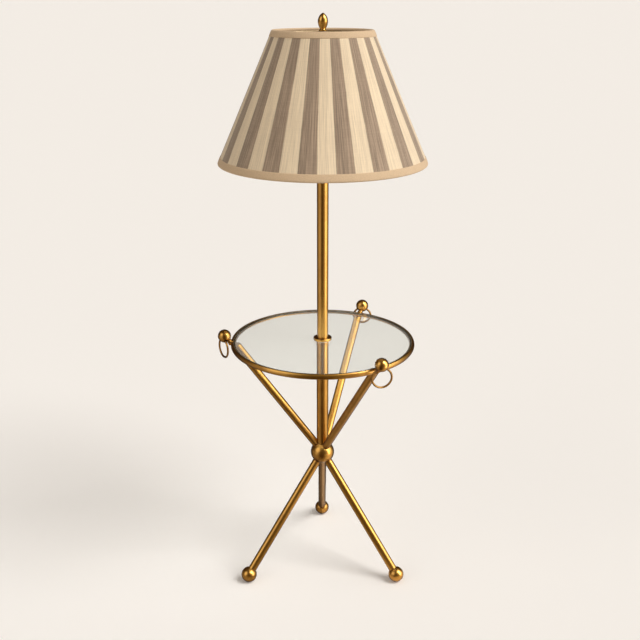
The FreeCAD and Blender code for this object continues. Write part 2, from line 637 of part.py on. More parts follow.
def harp_saddle():
    """The saddle: a strip under the lamp holder with a bored post at each end."""
    bottom = SADDLE_TOP - SADDLE_THICKNESS
    corner = Vector(-SADDLE_HALF_LENGTH, -SADDLE_WIDTH / 2, bottom)
    saddle = Part.makeBox(2 * SADDLE_HALF_LENGTH, SADDLE_WIDTH, SADDLE_THICKNESS, corner)
    for side in (-1, 1):
        place = Vector(side * SADDLE_HALF_LENGTH, 0, bottom)
        end = Part.makeCylinder(SADDLE_WIDTH / 2, SADDLE_THICKNESS, place)
        saddle = saddle.fuse(end).fuse(Part.makeCylinder(SADDLE_POST_RADIUS, SADDLE_POST_HEIGHT, place))
    for side in (-1, 1):
        place = Vector(side * SADDLE_HALF_LENGTH, 0, bottom + SADDLE_POST_HEIGHT - SADDLE_BORE_DEPTH)
        bore = Part.makeCylinder(HARP_WIRE_RADIUS + HARP_FIT_CLEARANCE, SADDLE_BORE_DEPTH, place)
        saddle = saddle.cut(bore)
    return saddle.cut(upright(PIPE_HOLE_RADIUS, bottom, SADDLE_TOP)).removeSplitter()


def harp_path():
    """Half of the harp's centreline, from its foot in the saddle to the seat, as joined edges."""
    sway = math.radians(HARP_SWAY_ANGLE)
    radius = (HARP_HALF_WIDTH - SADDLE_HALF_LENGTH) / (2 * (1 - math.cos(sway)))
    lean = radius * math.sin(sway)
    drift = radius * (1 - math.cos(sway))
    half_drift = radius * (1 - math.cos(sway / 2))
    half_lean = radius * math.sin(sway / 2)
    foot = SADDLE_TOP - SADDLE_THICKNESS + SADDLE_POST_HEIGHT - SADDLE_BORE_DEPTH + DRILL_CLEARANCE
    bend = SADDLE_TOP - SADDLE_THICKNESS + SADDLE_POST_HEIGHT + HARP_LEG_HEIGHT
    crown = HARP_SEAT_TOP - HARP_SEAT_THICKNESS / 2
    shoulder = HARP_SHOULDER_RADIUS
    slack = shoulder * math.sqrt(0.5)
    inner, outer = SADDLE_HALF_LENGTH, HARP_HALF_WIDTH
    points = [Vector(inner, 0, foot), Vector(inner, 0, bend), Vector(inner + drift, 0, bend + lean),
              Vector(outer, 0, bend + 2 * lean), Vector(outer, 0, crown - shoulder),
              Vector(outer - shoulder, 0, crown), Vector(0, 0, crown)]
    first_mid = Vector(inner + half_drift, 0, bend + half_lean)
    second_mid = Vector(outer - half_drift, 0, bend + 2 * lean - half_lean)
    shoulder_mid = Vector(outer - shoulder + slack, 0, crown - shoulder + slack)
    return [Part.makeLine(points[0], points[1]),
            Part.Arc(points[1], first_mid, points[2]).toShape(),
            Part.Arc(points[2], second_mid, points[3]).toShape(),
            Part.makeLine(points[3], points[4]),
            Part.Arc(points[4], shoulder_mid, points[5]).toShape(),
            Part.makeLine(points[5], points[6])]


def harp():
    """The harp: two swayed wire halves, the turned seat at their crown and the finial's stud."""
    path = Part.Wire(harp_path())
    start = path.Vertexes[0].Point
    section = Part.Wire(Part.makeCircle(HARP_WIRE_RADIUS, start, UP))
    half = path.makePipeShell([section], True, False)
    other = half.mirror(Vector(), Vector(1, 0, 0))
    seat_bottom = HARP_SEAT_TOP - HARP_SEAT_THICKNESS
    seat = upright(HARP_SEAT_RADIUS, seat_bottom, HARP_SEAT_TOP)
    stud_bar = upright(FINIAL_STUD_RADIUS, seat_bottom, HARP_SEAT_TOP + FINIAL_STUD_LENGTH)
    return seat.fuse([stud_bar, half, other]).removeSplitter()


def harp_ferrule(side):
    """A sleeve that locks the harp's foot in the saddle's post."""
    bore = SADDLE_POST_RADIUS + HARP_FIT_CLEARANCE
    place = Vector(side * SADDLE_HALF_LENGTH, 0, SADDLE_TOP)
    outer = Part.makeCylinder(bore + FERRULE_WALL, FERRULE_LENGTH, place)
    return outer.cut(Part.makeCylinder(bore, FERRULE_LENGTH, place))


# ---------------------------------------------------------------- lamp holder and bulb

def holder_cap():
    """The holder's cap: a cup with a tapped boss in its foot."""
    bottom = SADDLE_TOP
    boss_top = bottom + HOLDER_CAP_BOSS_HEIGHT
    top = bottom + HOLDER_CAP_HEIGHT
    sheet = METAL_SHEET
    outer = HOLDER_CAP_RADIUS
    inner = outer - sheet
    boss = HOLDER_CAP_BOSS_RADIUS
    return turned(
        (PIPE_HOLE_RADIUS, bottom), (boss, bottom), (boss, boss_top - sheet),
        (outer - 2 * sheet, boss_top - sheet),
        (outer, boss_top + sheet), (outer, top), (inner, top), (inner, boss_top + sheet),
        (inner - sheet, boss_top), (PIPE_HOLE_RADIUS, boss_top))


def key_bar(radius, start, end):
    """A bar on the switch key's axis, towards the front of the lamp."""
    return bar(Vector(0, -start, KEY_AXIS_HEIGHT), Vector(0, -end, KEY_AXIS_HEIGHT), radius)


def holder_shell():
    """The holder's shell with a rolled lip and the key's hole."""
    outer = HOLDER_SHELL_RADIUS
    inner = outer - METAL_SHEET
    top = HOLDER_SHELL_TOP
    lip = top - 2 * HOLDER_BEAD_RADIUS
    shell = turned(
        (inner, HOLDER_SHELL_BOTTOM), (outer, HOLDER_SHELL_BOTTOM), (outer, lip),
        (outer + HOLDER_BEAD_RADIUS, top - HOLDER_BEAD_RADIUS, outer, top), (inner, top))
    return shell.cut(key_bar(KEY_SHAFT_DIAMETER, HOLDER_BODY_RADIUS, 2 * HOLDER_SHELL_RADIUS))


def holder_sleeve():
    """The insulating sleeve inside the shell."""
    bore = SLEEVE_RADIUS - SLEEVE_THICKNESS
    sleeve = pipe(SLEEVE_RADIUS, bore, HOLDER_SHELL_BOTTOM, HOLDER_SHELL_TOP - METAL_SHEET)
    return sleeve.cut(key_bar(KEY_SHAFT_DIAMETER, HOLDER_BODY_RADIUS / 2, 2 * HOLDER_SHELL_RADIUS))


def holder_body():
    """The moulded body of the holder, bored for the switch key."""
    body = upright(HOLDER_BODY_RADIUS, HOLDER_BODY_BOTTOM, HOLDER_BODY_TOP)
    body = body.cut(upright(PIPE_BORE_DIAMETER / 2, HOLDER_BODY_BOTTOM, HOLDER_BODY_BOTTOM + METAL_SHEET))
    inner = HOLDER_BODY_RADIUS - KEY_DEPTH - DRILL_CLEARANCE
    return body.cut(key_bar(KEY_SHAFT_DIAMETER / 2 + KEY_CLEARANCE, inner, 2 * HOLDER_BODY_RADIUS))


def screw_shell():
    """The threaded shell that the bulb's base turns into."""
    outer = SCREW_SHELL_BORE + SCREW_SHELL_WALL
    return pipe(outer, SCREW_SHELL_BORE, HOLDER_BODY_TOP, HOLDER_BODY_TOP + SCREW_SHELL_HEIGHT)


def centre_contact():
    """The contact under the bulb's tip."""
    return upright(CONTACT_RADIUS, HOLDER_BODY_TOP, HOLDER_BODY_TOP + CONTACT_HEIGHT)


def bulb_base():
    """The bulb's screw base with its tip."""
    bottom = BULB_BASE_BOTTOM
    return turned(
        (0, bottom - BULB_TIP_LENGTH), (BULB_TIP_RADIUS, bottom - BULB_TIP_LENGTH),
        (BULB_BASE_RADIUS - BULB_TIP_LENGTH, bottom), (BULB_BASE_RADIUS, bottom + BULB_TIP_LENGTH),
        (BULB_BASE_RADIUS, BULB_GLASS_BOTTOM), (0, BULB_GLASS_BOTTOM))


def bulb_form(inset):
    """The bulb's pear form, drawn in by an inset."""
    neck_radius = BULB_NECK_RADIUS - inset
    round_radius = BULB_RADIUS - inset
    neck_top = BULB_GLASS_BOTTOM + BULB_NECK_LENGTH
    centre = neck_top + BULB_FLARE_LENGTH
    slack = round_radius * math.sqrt(0.5)
    flare_mid = ((neck_radius + slack) / 2 - BULB_FLARE_HOLLOW, (neck_top + centre - slack) / 2)
    return turned(
        (0, BULB_GLASS_BOTTOM + inset), (neck_radius, BULB_GLASS_BOTTOM + inset), (neck_radius, neck_top),
        (*flare_mid, slack, centre - slack), (round_radius, centre, slack, centre + slack),
        (round_radius * math.sin(math.radians(22.5)), centre + round_radius * math.cos(math.radians(22.5)),
         0, centre + round_radius))


def bulb_glass():
    """The bulb's hollow glass."""
    return bulb_form(0.0).cut(bulb_form(BULB_WALL))


def switch_key():
    """The turning key: a fluted knob on a shaft into the holder's body."""
    inner = HOLDER_BODY_RADIUS - KEY_DEPTH
    outer = HOLDER_SHELL_RADIUS + KEY_SHAFT_LENGTH
    knob_start = outer - KEY_KNOB_LENGTH
    knob = key_bar(KEY_KNOB_RADIUS, knob_start, outer)
    for k in range(KEY_FLUTES):
        angle = 2 * math.pi * k / KEY_FLUTES
        rise = KEY_KNOB_RADIUS * math.sin(angle)
        side = Vector(KEY_KNOB_RADIUS * math.cos(angle), 0, KEY_AXIS_HEIGHT + rise)
        knob = knob.cut(bar(side - Vector(0, knob_start, 0), side - Vector(0, outer, 0), KEY_FLUTE_RADIUS))
    return knob.fuse(key_bar(KEY_SHAFT_DIAMETER / 2, inner, outer)).removeSplitter()


# ---------------------------------------------------------------- shade

def on_slant(along, inward):
    """The (radius, height) at a distance down the shade's slope, and inwards from its outer face."""
    radius = SHADE_TOP_RADIUS + along * SLANT_OUT - inward * SLANT_DOWN
    height = SHADE_TOP - along * SLANT_DOWN - inward * SLANT_OUT
    return radius, height


def slant_ring(along_from, along_to, inward_from, inward_to):
    """A ring whose section is a rectangle laid along the shade's slope."""
    return turned(
        on_slant(along_from, inward_from), on_slant(along_to, inward_from),
        on_slant(along_to, inward_to), on_slant(along_from, inward_to))


def shade_fabric():
    """The shade's cone of fabric on its lining, under the trims."""
    return slant_ring(FABRIC_INSET, SHADE_SLANT - FABRIC_INSET, FABRIC_INSET, FABRIC_INSET + SHADE_SHEET)


def shade_trim(edge, fold, width):
    """A tape trim folded over an edge.  fold is +1 at the top edge and -1 at the bottom edge."""
    skin = TRIM_THICKNESS
    inside = skin + TRIM_CHANNEL
    return turned(
        on_slant(edge, 0), on_slant(edge + fold * width, 0), on_slant(edge + fold * width, skin),
        on_slant(edge + fold * skin, skin), on_slant(edge + fold * skin, inside),
        on_slant(edge + fold * TRIM_INNER_WIDTH, inside),
        on_slant(edge + fold * TRIM_INNER_WIDTH, inside + skin), on_slant(edge, inside + skin))


def edge_wire(edge, fold):
    """The round wire ring inside a folded trim."""
    gap = SHADE_WIRE_RADIUS + SHADE_WIRE_CLEARANCE
    radius, height = on_slant(edge + fold * (TRIM_THICKNESS + gap), FABRIC_INSET + SHADE_SHEET + gap)
    return radius, height, Part.makeTorus(radius, SHADE_WIRE_RADIUS, Vector(0, 0, height), UP)


def spider_arms(thicker=0.0):
    """The arms from the fitter to the top wire ring, thickened by a clearance for their notches."""
    radius, height, _ = edge_wire(0, 1)
    inner_height = FITTER_BOTTOM + SHADE_WIRE_RADIUS
    arms = []
    for k in range(SPIDER_ARMS):
        turn = SPIDER_TURN + 360.0 * k / SPIDER_ARMS
        inner = polar(FITTER_RADIUS - SHADE_WIRE_RADIUS, turn, inner_height)
        arms.append(bar(inner, polar(radius, turn, height), SHADE_WIRE_RADIUS + thicker))
    return arms


def shade_spider():
    """The top frame: the wire ring, the arms and the fitter that sits on the harp."""
    fitter = upright(FITTER_RADIUS, FITTER_BOTTOM, FITTER_TOP)
    frame = fitter.fuse([edge_wire(0, 1)[2]] + spider_arms())
    hole = upright(FITTER_HOLE_RADIUS, FITTER_BOTTOM - FITTER_THICKNESS, FITTER_TOP + FITTER_THICKNESS)
    return frame.cut(hole).removeSplitter()


def top_trim():
    """The top tape, notched where the arms come through its inner fold."""
    return shade_trim(0, 1, TOP_TRIM_WIDTH).cut(spider_arms(TRIM_CLEARANCE))


def finial():
    """The egg-shaped finial with its flared foot and tapped hole."""
    base = FINIAL_BOTTOM
    belly = base + FINIAL_BELLY_HEIGHT
    neck_height = base + FINIAL_NECK_HEIGHT
    foot_top = base + FINIAL_FOOT_HEIGHT
    tip = base + FINIAL_HEIGHT
    swelling = (FINIAL_BELLY_RADIUS - FINIAL_NECK_RADIUS) * FINIAL_LOWER_FULLNESS
    low_mid = (FINIAL_NECK_RADIUS + swelling, (neck_height + belly) / 2)
    high_mid = (FINIAL_BELLY_RADIUS * FINIAL_UPPER_FULLNESS, belly + (tip - belly) * FINIAL_UPPER_SHARE)
    flare_height = foot_top + (neck_height - foot_top) * FINIAL_FLARE_SHARE
    flare_mid = (FINIAL_NECK_RADIUS + FINIAL_FLARE_DEPTH, flare_height)
    form = turned(
        (0, base), (FINIAL_FOOT_RADIUS, base), (FINIAL_FOOT_RADIUS, foot_top),
        (*flare_mid, FINIAL_NECK_RADIUS, neck_height), (*low_mid, FINIAL_BELLY_RADIUS, belly),
        (*high_mid, FINIAL_TIP_RADIUS, tip), (0, tip))
    hole_top = HARP_SEAT_TOP + FINIAL_STUD_LENGTH + DRILL_CLEARANCE
    return form.cut(upright(FINIAL_STUD_RADIUS + THREAD_CLEARANCE, base, hole_top))


# ---------------------------------------------------------------- assembly

def build_nodes():
    """Every named piece of the lamp."""
    nodes = {
        "foot_pads": Part.makeCompound([foot_pad(foot) for foot in FEET]),
        "hub_ball": hub_ball(),
        "cord_outlet": cord_outlet(),
        "hub_pipe": hub_pipe(),
        "lower_column": lower_column(),
        "column_plug": column_plug(),
        "column_coupling": column_coupling(),
        "upper_column": upper_column(),
        "column_cap": column_cap(),
        "cap_pipe": cap_pipe(),
        "table_rim": table_rim(),
        "glazing_strip": glazing_strip(),
        "glass_top": glass_top(),
        "collar_gasket": collar_gasket(),
        "glass_collar": glass_collar(),
        "collar_screw": collar_screw(),
        "harp_saddle": harp_saddle(),
        "harp": harp(),
        "harp_ferrules": Part.makeCompound([harp_ferrule(side) for side in (-1, 1)]),
        "holder_cap": holder_cap(),
        "holder_shell": holder_shell(),
        "holder_sleeve": holder_sleeve(),
        "holder_body": holder_body(),
        "screw_shell": screw_shell(),
        "centre_contact": centre_contact(),
        "bulb_base": bulb_base(),
        "bulb_glass": bulb_glass(),
        "switch_key": switch_key(),
        "shade_fabric": shade_fabric(),
        "shade_spider": shade_spider(),
        "shade_bottom_ring": edge_wire(SHADE_SLANT, -1)[2],
        "top_trim": top_trim(),
        "bottom_trim": shade_trim(SHADE_SLANT, -1, BOTTOM_TRIM_WIDTH),
        "finial": finial(),
    }
    for name, foot in zip(LEG_NAMES, FEET):
        nodes["leg_" + name] = leg(foot)
        nodes["foot_ball_" + name] = foot_ball(foot)
    for name, end in zip(ROD_NAMES, ROD_ENDS):
        nodes["rod_" + name] = rod(end)
    for name, turn, twist in zip(ROD_NAMES, ROD_TURNS, RING_TWIST):
        nodes["neck_" + name] = neck(turn)
        nodes["pull_ball_" + name] = pull_ball(turn, twist)
        nodes["pull_ring_" + name] = pull_ring(turn, twist)
    nodes["rod_caps"] = Part.makeCompound([rod_cap(end) for end in ROD_ENDS])
    leg_plugs = [end_plug(HUB, foot, HUB_RADIUS, LEG_DIAMETER) for foot in FEET]
    foot_plugs = [end_plug(foot, HUB, FOOT_RADIUS, LEG_DIAMETER) for foot in FEET]
    rod_plugs = [end_plug(HUB, end, HUB_RADIUS, ROD_DIAMETER).cut(LOWER_COLUMN_BAR) for end in ROD_ENDS]
    nodes["leg_plugs"] = Part.makeCompound(leg_plugs + foot_plugs)
    nodes["rod_plugs"] = Part.makeCompound(rod_plugs)
    hub_studs = [stud(HUB, target, HUB_RADIUS) for target in FEET + ROD_ENDS]
    foot_studs = [stud(foot, HUB, FOOT_RADIUS) for foot in FEET]
    nodes["studs"] = Part.makeCompound(hub_studs + foot_studs)
    return nodes


os.makedirs("parts", exist_ok=True)
for node_name, node_shape in build_nodes().items():
    node_shape.exportStep("parts/" + node_name + ".step")
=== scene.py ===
"""Floor lamp with a round glass table: its finishes, its cloth shade, and the studio around it."""
import logging
import math
from dataclasses import dataclass, field
from enum import Enum
from typing import Any, TypeAlias

import bmesh
import bpy
from mathutils import Matrix, Vector, noise


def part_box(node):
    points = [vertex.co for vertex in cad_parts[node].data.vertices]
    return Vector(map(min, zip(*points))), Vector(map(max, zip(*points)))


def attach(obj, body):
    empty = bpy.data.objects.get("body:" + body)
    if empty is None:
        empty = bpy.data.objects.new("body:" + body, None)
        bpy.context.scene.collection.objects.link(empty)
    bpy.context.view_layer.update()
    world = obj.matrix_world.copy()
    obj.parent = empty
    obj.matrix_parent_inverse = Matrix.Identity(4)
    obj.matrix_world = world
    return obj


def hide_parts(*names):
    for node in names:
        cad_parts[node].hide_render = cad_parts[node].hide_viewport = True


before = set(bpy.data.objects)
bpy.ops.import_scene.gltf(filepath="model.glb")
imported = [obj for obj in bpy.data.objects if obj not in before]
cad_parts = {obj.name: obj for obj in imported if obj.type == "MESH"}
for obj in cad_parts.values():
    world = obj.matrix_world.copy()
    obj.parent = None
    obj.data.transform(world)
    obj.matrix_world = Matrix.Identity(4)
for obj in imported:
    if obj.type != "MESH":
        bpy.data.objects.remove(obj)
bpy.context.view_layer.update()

LOG = logging.getLogger("floor_lamp")
MM = 0.001
WELD_REACH = 0.001 * MM
EVEN = (1.0, 1.0, 1.0)
LEVEL = (1.0, 1.0, 0.0)
UPRIGHT = (0.0, 0.0, 1.0)

Colour: TypeAlias = tuple[float, float, float]
Span: TypeAlias = tuple[float, float]
Operand: TypeAlias = "Value | bpy.types.NodeSocket | float"


# ---------------------------------------------------------------- shader writing

class Value:
    """A number that varies over a surface: a shader socket with arithmetic."""

    def __init__(self, graph: "Graph", socket: bpy.types.NodeSocket) -> None:
        """Wraps an output socket of one of a graph's nodes.

        Args:
            graph: the graph that the socket belongs to.
            socket: the output socket.
        """
        self.graph = graph
        self.socket = socket

    def math(self, operation: str, *others: Operand, clamp: bool = False) -> "Value":
        """Adds one Math node.

        Args:
            operation: the Math node's operation.
            others: its other inputs.
            clamp: keeps the result between 0 and 1.

        Returns:
            The node's result.
        """
        node = self.graph.node("ShaderNodeMath", {"operation": operation, "use_clamp": clamp},
                               dict(enumerate((self, *others))))
        return Value(self.graph, node.outputs[0])

    def __add__(self, other: Operand) -> "Value":
        """self + other."""
        return self.math("ADD", other)

    def __sub__(self, other: Operand) -> "Value":
        """self - other."""
        return self.math("SUBTRACT", other)

    def __mul__(self, other: Operand) -> "Value":
        """self * other."""
        return self.math("MULTIPLY", other)

    def __rsub__(self, other: float) -> "Value":
        """other - self."""
        return (self * -1.0).math("ADD", other)

    __radd__ = __add__
    __rmul__ = __mul__

    def step(self, low: float, high: float) -> "Value":
        """Goes smoothly from 0 at low to 1 at high.

        Args:
            low: where the result is 0.
            high: where the result is 1.

        Returns:
            The smoothed step.
        """
        node = self.graph.node("ShaderNodeMapRange", {"interpolation_type": "SMOOTHSTEP"},
                               {"Value": self, "From Min": low, "From Max": high})
        return Value(self.graph, node.outputs["Result"])

    def clamped(self) -> "Value":
        """The value held between 0 and 1."""
        return self.math("ADD", 0.0, clamp=True)

    def weave(self, threads: float) -> "Value":
        """The relief of so many threads per unit, from 0 to 0.5."""
        return ((self * threads).math("FRACT") - 0.5).math("ABSOLUTE")


class Graph:
    """A node tree under construction."""

    def __init__(self, tree: bpy.types.NodeTree) -> None:
        """Takes a tree and empties it.

        Args:
            tree: the tree.
        """
        self.tree = tree
        self.tree.nodes.clear()

    def node(self, kind: str, settings: dict[str, Any] | None = None,
             inputs: dict[Any, Any] | None = None) -> bpy.types.Node:
        """Adds a node.

        Args:
            kind: the node's type.
            settings: its properties, which are set first.
            inputs: values or links of its sockets, by name or number.

        Returns:
            The new node.
        """
        made = self.tree.nodes.new(kind)
        for key, value in (settings or {}).items():
            setattr(made, key, value)
        for key, value in (inputs or {}).items():
            socket = made.inputs[key]
            if isinstance(value, Value):
                value = value.socket
            if isinstance(value, bpy.types.NodeSocket):
                self.tree.links.new(value, socket)
            elif isinstance(value, tuple) and socket.type == "RGBA":
                socket.default_value = (*value, 1.0)
            else:
                socket.default_value = value
        return made

    def value(self, socket: bpy.types.NodeSocket) -> Value:
        """Wraps a socket."""
        return Value(self, socket)

    def by_ray(self, seen: bpy.types.NodeSocket, mirrored: bpy.types.NodeSocket,
               other: bpy.types.NodeSocket) -> bpy.types.NodeSocket:
        """Picks a shader by the kind of ray that meets it.

        Args:
            seen: the shader that the eye sees, straight or through glass.
            mirrored: the shader that reflections show.
            other: the shader that lights the rest.

        Returns:
            The picked shader's socket.
        """
        rays = self.node("ShaderNodeLightPath").outputs
        direct = self.value(rays["Is Camera Ray"]).math("MAXIMUM", rays["Is Transmission Ray"])
        indirect = self.node("ShaderNodeMixShader", None, {0: rays["Is Glossy Ray"], 1: other, 2: mirrored})
        return self.node("ShaderNodeMixShader", None,
                         {0: direct, 1: indirect.outputs[0], 2: seen}).outputs[0]


class Shader(Graph):
    """A material under construction."""

    def __init__(self, name: str) -> None:
        """Starts an empty material.

        Args:
            name: the material's name.
        """
        self.material = bpy.data.materials.new(name)
        self.material.use_nodes = True
        super().__init__(self.material.node_tree)
        self.output = self.node("ShaderNodeOutputMaterial")

    def place(self) -> bpy.types.NodeSocket:
        """The piece's own coordinates, in metres."""
        return self.node("ShaderNodeTexCoord").outputs["Object"]

    def axes(self) -> tuple[Value, Value, Value]:
        """The piece's own x, y and z."""
        split = self.node("ShaderNodeSeparateXYZ", None, {0: self.place()}).outputs
        return self.value(split[0]), self.value(split[1]), self.value(split[2])

    def turn(self) -> Value:
        """The angle round the lamp's centreline, in turns from +X."""
        x, y, _ = self.axes()
        return y.math("ARCTAN2", x) * (1.0 / (2 * math.pi))

    def vector(self, operation: str, inputs: dict[Any, Any]) -> bpy.types.Node:
        """Adds one Vector Math node, with its inputs by name or number."""
        return self.node("ShaderNodeVectorMath", {"operation": operation}, inputs)

    def around(self, radius: float) -> bpy.types.NodeSocket:
        """Coordinates that follow a shade's slope.

        Args:
            radius: the radius at which distances round the shade are true.

        Returns:
            The coordinates: across at that radius, and up in z.
        """
        flat = self.vector("MULTIPLY", {0: self.place(), 1: LEVEL})
        unit = self.vector("NORMALIZE", {0: flat.outputs[0]})
        ring = self.vector("SCALE", {0: unit.outputs[0], "Scale": radius})
        rise = self.vector("MULTIPLY", {0: self.place(), 1: UPRIGHT})
        return self.vector("ADD", {0: ring.outputs[0], 1: rise.outputs[0]}).outputs[0]

    def noise(self, scale: float, detail: float = 3.0, roughness: float = 0.55,
              stretch: tuple[float, float, float] = EVEN, shift: float = 0.0,
              along: bpy.types.NodeSocket | None = None) -> Value:
        """Noise over the piece.

        Args:
            scale: features per metre.
            detail: layers of finer noise.
            roughness: weight of the finer noise.
            stretch: scale along each axis.
            shift: moves the pattern, so that two pieces differ.
            along: other coordinates than the piece's own.

        Returns:
            The noise, about 0.5.
        """
        mapped = self.node("ShaderNodeMapping", None, {
            "Vector": along or self.place(), "Scale": stretch, "Location": (shift, shift, shift)})
        made = self.node("ShaderNodeTexNoise", None, {
            "Vector": mapped.outputs[0], "Scale": scale, "Detail": detail, "Roughness": roughness})
        return self.value(made.outputs["Fac"])

    def distance(self, point: tuple[float, float, float], flat: bool = False) -> Value:
        """Distance from a point.

        Args:
            point: the point, in metres.
            flat: measures only across, from the upright line through the point.

        Returns:
            The distance in metres.
        """
        source = self.place()
        if flat:
            source = self.vector("MULTIPLY", {0: source, 1: LEVEL}).outputs[0]
            point = (point[0], point[1], 0.0)
        return self.value(self.vector("DISTANCE", {0: source, 1: point}).outputs["Value"])

    def facing(self) -> Value:
        """0 where the surface faces the eye and 1 at its outline."""
        return self.value(self.node("ShaderNodeLayerWeight", None, {"Blend": 0.5}).outputs["Facing"])

    def mix(self, factor: Value, first: Colour | bpy.types.NodeSocket,
            second: Colour | bpy.types.NodeSocket) -> bpy.types.NodeSocket:
        """Mixes two colours.

        Args:
            factor: 0 gives the first and 1 the second.
            first: a colour or a socket.
            second: a colour or a socket.

        Returns:
            The mixed colour's socket.
        """
        made = self.node("ShaderNodeMix", {"data_type": "RGBA"}, {"Factor": factor})
        for socket, value in ((made.inputs[6], first), (made.inputs[7], second)):
            if isinstance(value, tuple):
                socket.default_value = (*value, 1.0)
            else:
                self.tree.links.new(value, socket)
        return made.outputs[2]

    def bump(self, height: Value, depth: float, strength: float = 1.0) -> bpy.types.NodeSocket:
        """Turns a height into a normal.

        Args:
            height: the height, from 0 to 1.
            depth: metres that a height of 1 stands out.
            strength: the share of the effect.

        Returns:
            The normal's socket.
        """
        return self.node("ShaderNodeBump", None,
                         {"Height": height, "Distance": depth, "Strength": strength}).outputs[0]

    def principled(self, **inputs: Any) -> bpy.types.Material:
        """Ends the material in a Principled shader.

        Args:
            inputs: its sockets, with spaces written as underscores.

        Returns:
            The finished material.
        """
        named = {key.replace("_", " "): value for key, value in inputs.items()}
        return self.finish(self.node("ShaderNodeBsdfPrincipled", None, named).outputs[0])

    def finish(self, surface: bpy.types.NodeSocket) -> bpy.types.Material:
        """Gives the material its surface, and returns it."""
        self.tree.links.new(surface, self.output.inputs["Surface"])
        return self.material


def shaded(colour: Colour, share: float, lift: float = 0.0) -> Colour:
    """The colour times a share, with a lift added, and no brighter than white."""
    return tuple(min(1.0, part * share + lift) for part in colour)


# ---------------------------------------------------------------- finishes

@dataclass(frozen=True)
class PaintedShade:
    """Painted shade round a point: a darkening where parts meet or where one rests on another."""

    point: tuple[float, float, float]
    reach: float
    fade: float


@dataclass(frozen=True)
class AgedBrass:
    """Brass with an old lacquer: gold where it is rubbed and brown where it has toned, with painted shade
    round given points and towards its outline.
    """

    name: str
    bright: Colour = (0.72, 0.395, 0.070)
    toned: Colour = (0.38, 0.155, 0.016)
    outline: Colour = (0.085, 0.034, 0.005)
    rough: float = 0.32
    toning: float = 0.42
    lacquer: float = 0.9
    shade_spots: tuple[PaintedShade, ...] = ()
    shift: float = 0.0
    cloud_scale: float = 16.0
    clouded: Span = (0.38, 0.74)
    speck_scale: float = 260.0
    specked: Span = (0.56, 0.74)
    speck_share: float = 0.16
    shade_spot_share: float = 0.55
    shade_spot_specks: float = 0.7
    pit_scale: float = 900.0
    outline_shaded: Span = (0.26, 0.86)
    outline_shade_share: float = 0.9
    toned_rough: float = 0.12
    pit_rough: float = 0.05
    lacquer_rough: float = 0.24
    relief: float = 0.04 * MM

    def material(self) -> bpy.types.Material:
        """Builds the material.

        Returns:
            The brass, with its patina and painted shade.
        """
        s = Shader(self.name)
        clouds = s.noise(self.cloud_scale, 4.0, 0.6, shift=self.shift)
        specks = s.noise(self.speck_scale, 3.0, 0.6, shift=self.shift)
        pits = s.noise(self.pit_scale, 2.0, 0.5)
        tone_and_shade = clouds.step(*self.clouded) * self.toning + specks.step(*self.specked) * self.speck_share
        # painted shade: the brass darkens round each given point, where parts meet or rest
        for shade_spot in self.shade_spots:
            spot_shade = 1.0 - s.distance(shade_spot.point).step(shade_spot.reach, shade_spot.reach + shade_spot.fade)
            tone_and_shade = tone_and_shade.math("MAXIMUM", spot_shade * (self.shade_spot_share + specks * self.shade_spot_specks))
        tone_and_shade = tone_and_shade.clamped()
        colour = s.mix(tone_and_shade, self.bright, self.toned)
        height = specks * 0.35 + pits * 0.5 + clouds
        return s.principled(
            # painted shade: the colour darkens towards each piece's outline as the camera sees it
            Base_Color=s.mix(s.facing().step(*self.outline_shaded) * self.outline_shade_share, colour, self.outline),
            Metallic=1.0, Roughness=self.rough + tone_and_shade * self.toned_rough + pits * self.pit_rough,
            Coat_Weight=self.lacquer, Coat_Roughness=self.lacquer_rough, Coat_IOR=1.5,
            Normal=s.bump(height, self.relief, 0.5))


@dataclass(frozen=True)
class PlainMetal:
    """A plated or rolled metal."""

    name: str
    colour: Colour
    rough: float = 0.3
    drawn_scale: float = 1200.0
    drawn_stretch: tuple[float, float, float] = (1.0, 1.0, 0.05)
    drawn_rough: float = 0.18
    dull_scale: float = 60.0
    dulled: Span = (0.35, 0.8)
    dull_share: float = 0.72
    relief: float = 0.03 * MM

    def material(self) -> bpy.types.Material:
        """Builds the material.

        Returns:
            The metal, with fine drawn lines.
        """
        s = Shader(self.name)
        drawn = s.noise(self.drawn_scale, 2.0, 0.5, stretch=self.drawn_stretch)
        dull = s.noise(self.dull_scale, 3.0).step(*self.dulled)
        return s.principled(
            Base_Color=s.mix(dull, self.colour, shaded(self.colour, self.dull_share)), Metallic=1.0,
            Roughness=self.rough + drawn * self.drawn_rough, Normal=s.bump(drawn, self.relief, 0.5))


@dataclass(frozen=True)
class Moulded:
    """Plastic, rubber or pressed fibre with a fine moulded grain."""

    name: str
    colour: Colour
    rough: float = 0.55
    grain: float = 700.0
    relief: float = 0.05 * MM
    gloss: float = 0.5
    grain_rough: float = 0.15
    dust_scale: float = 45.0
    dusted: Span = (0.45, 0.85)
    dust_share: float = 0.6
    paler: float = 1.5
    lift: float = 0.015

    def material(self) -> bpy.types.Material:
        """Builds the material.

        Returns:
            The moulded stuff, a little dusty.
        """
        s = Shader(self.name)
        grain = s.noise(self.grain, 3.0)
        dust = s.noise(self.dust_scale, 4.0).step(*self.dusted) * self.dust_share
        return s.principled(
            Base_Color=s.mix(dust, self.colour, shaded(self.colour, self.paler, self.lift)),
            Roughness=self.rough + grain * self.grain_rough, Specular_IOR_Level=self.gloss,
            Normal=s.bump(grain, self.relief, 0.6))


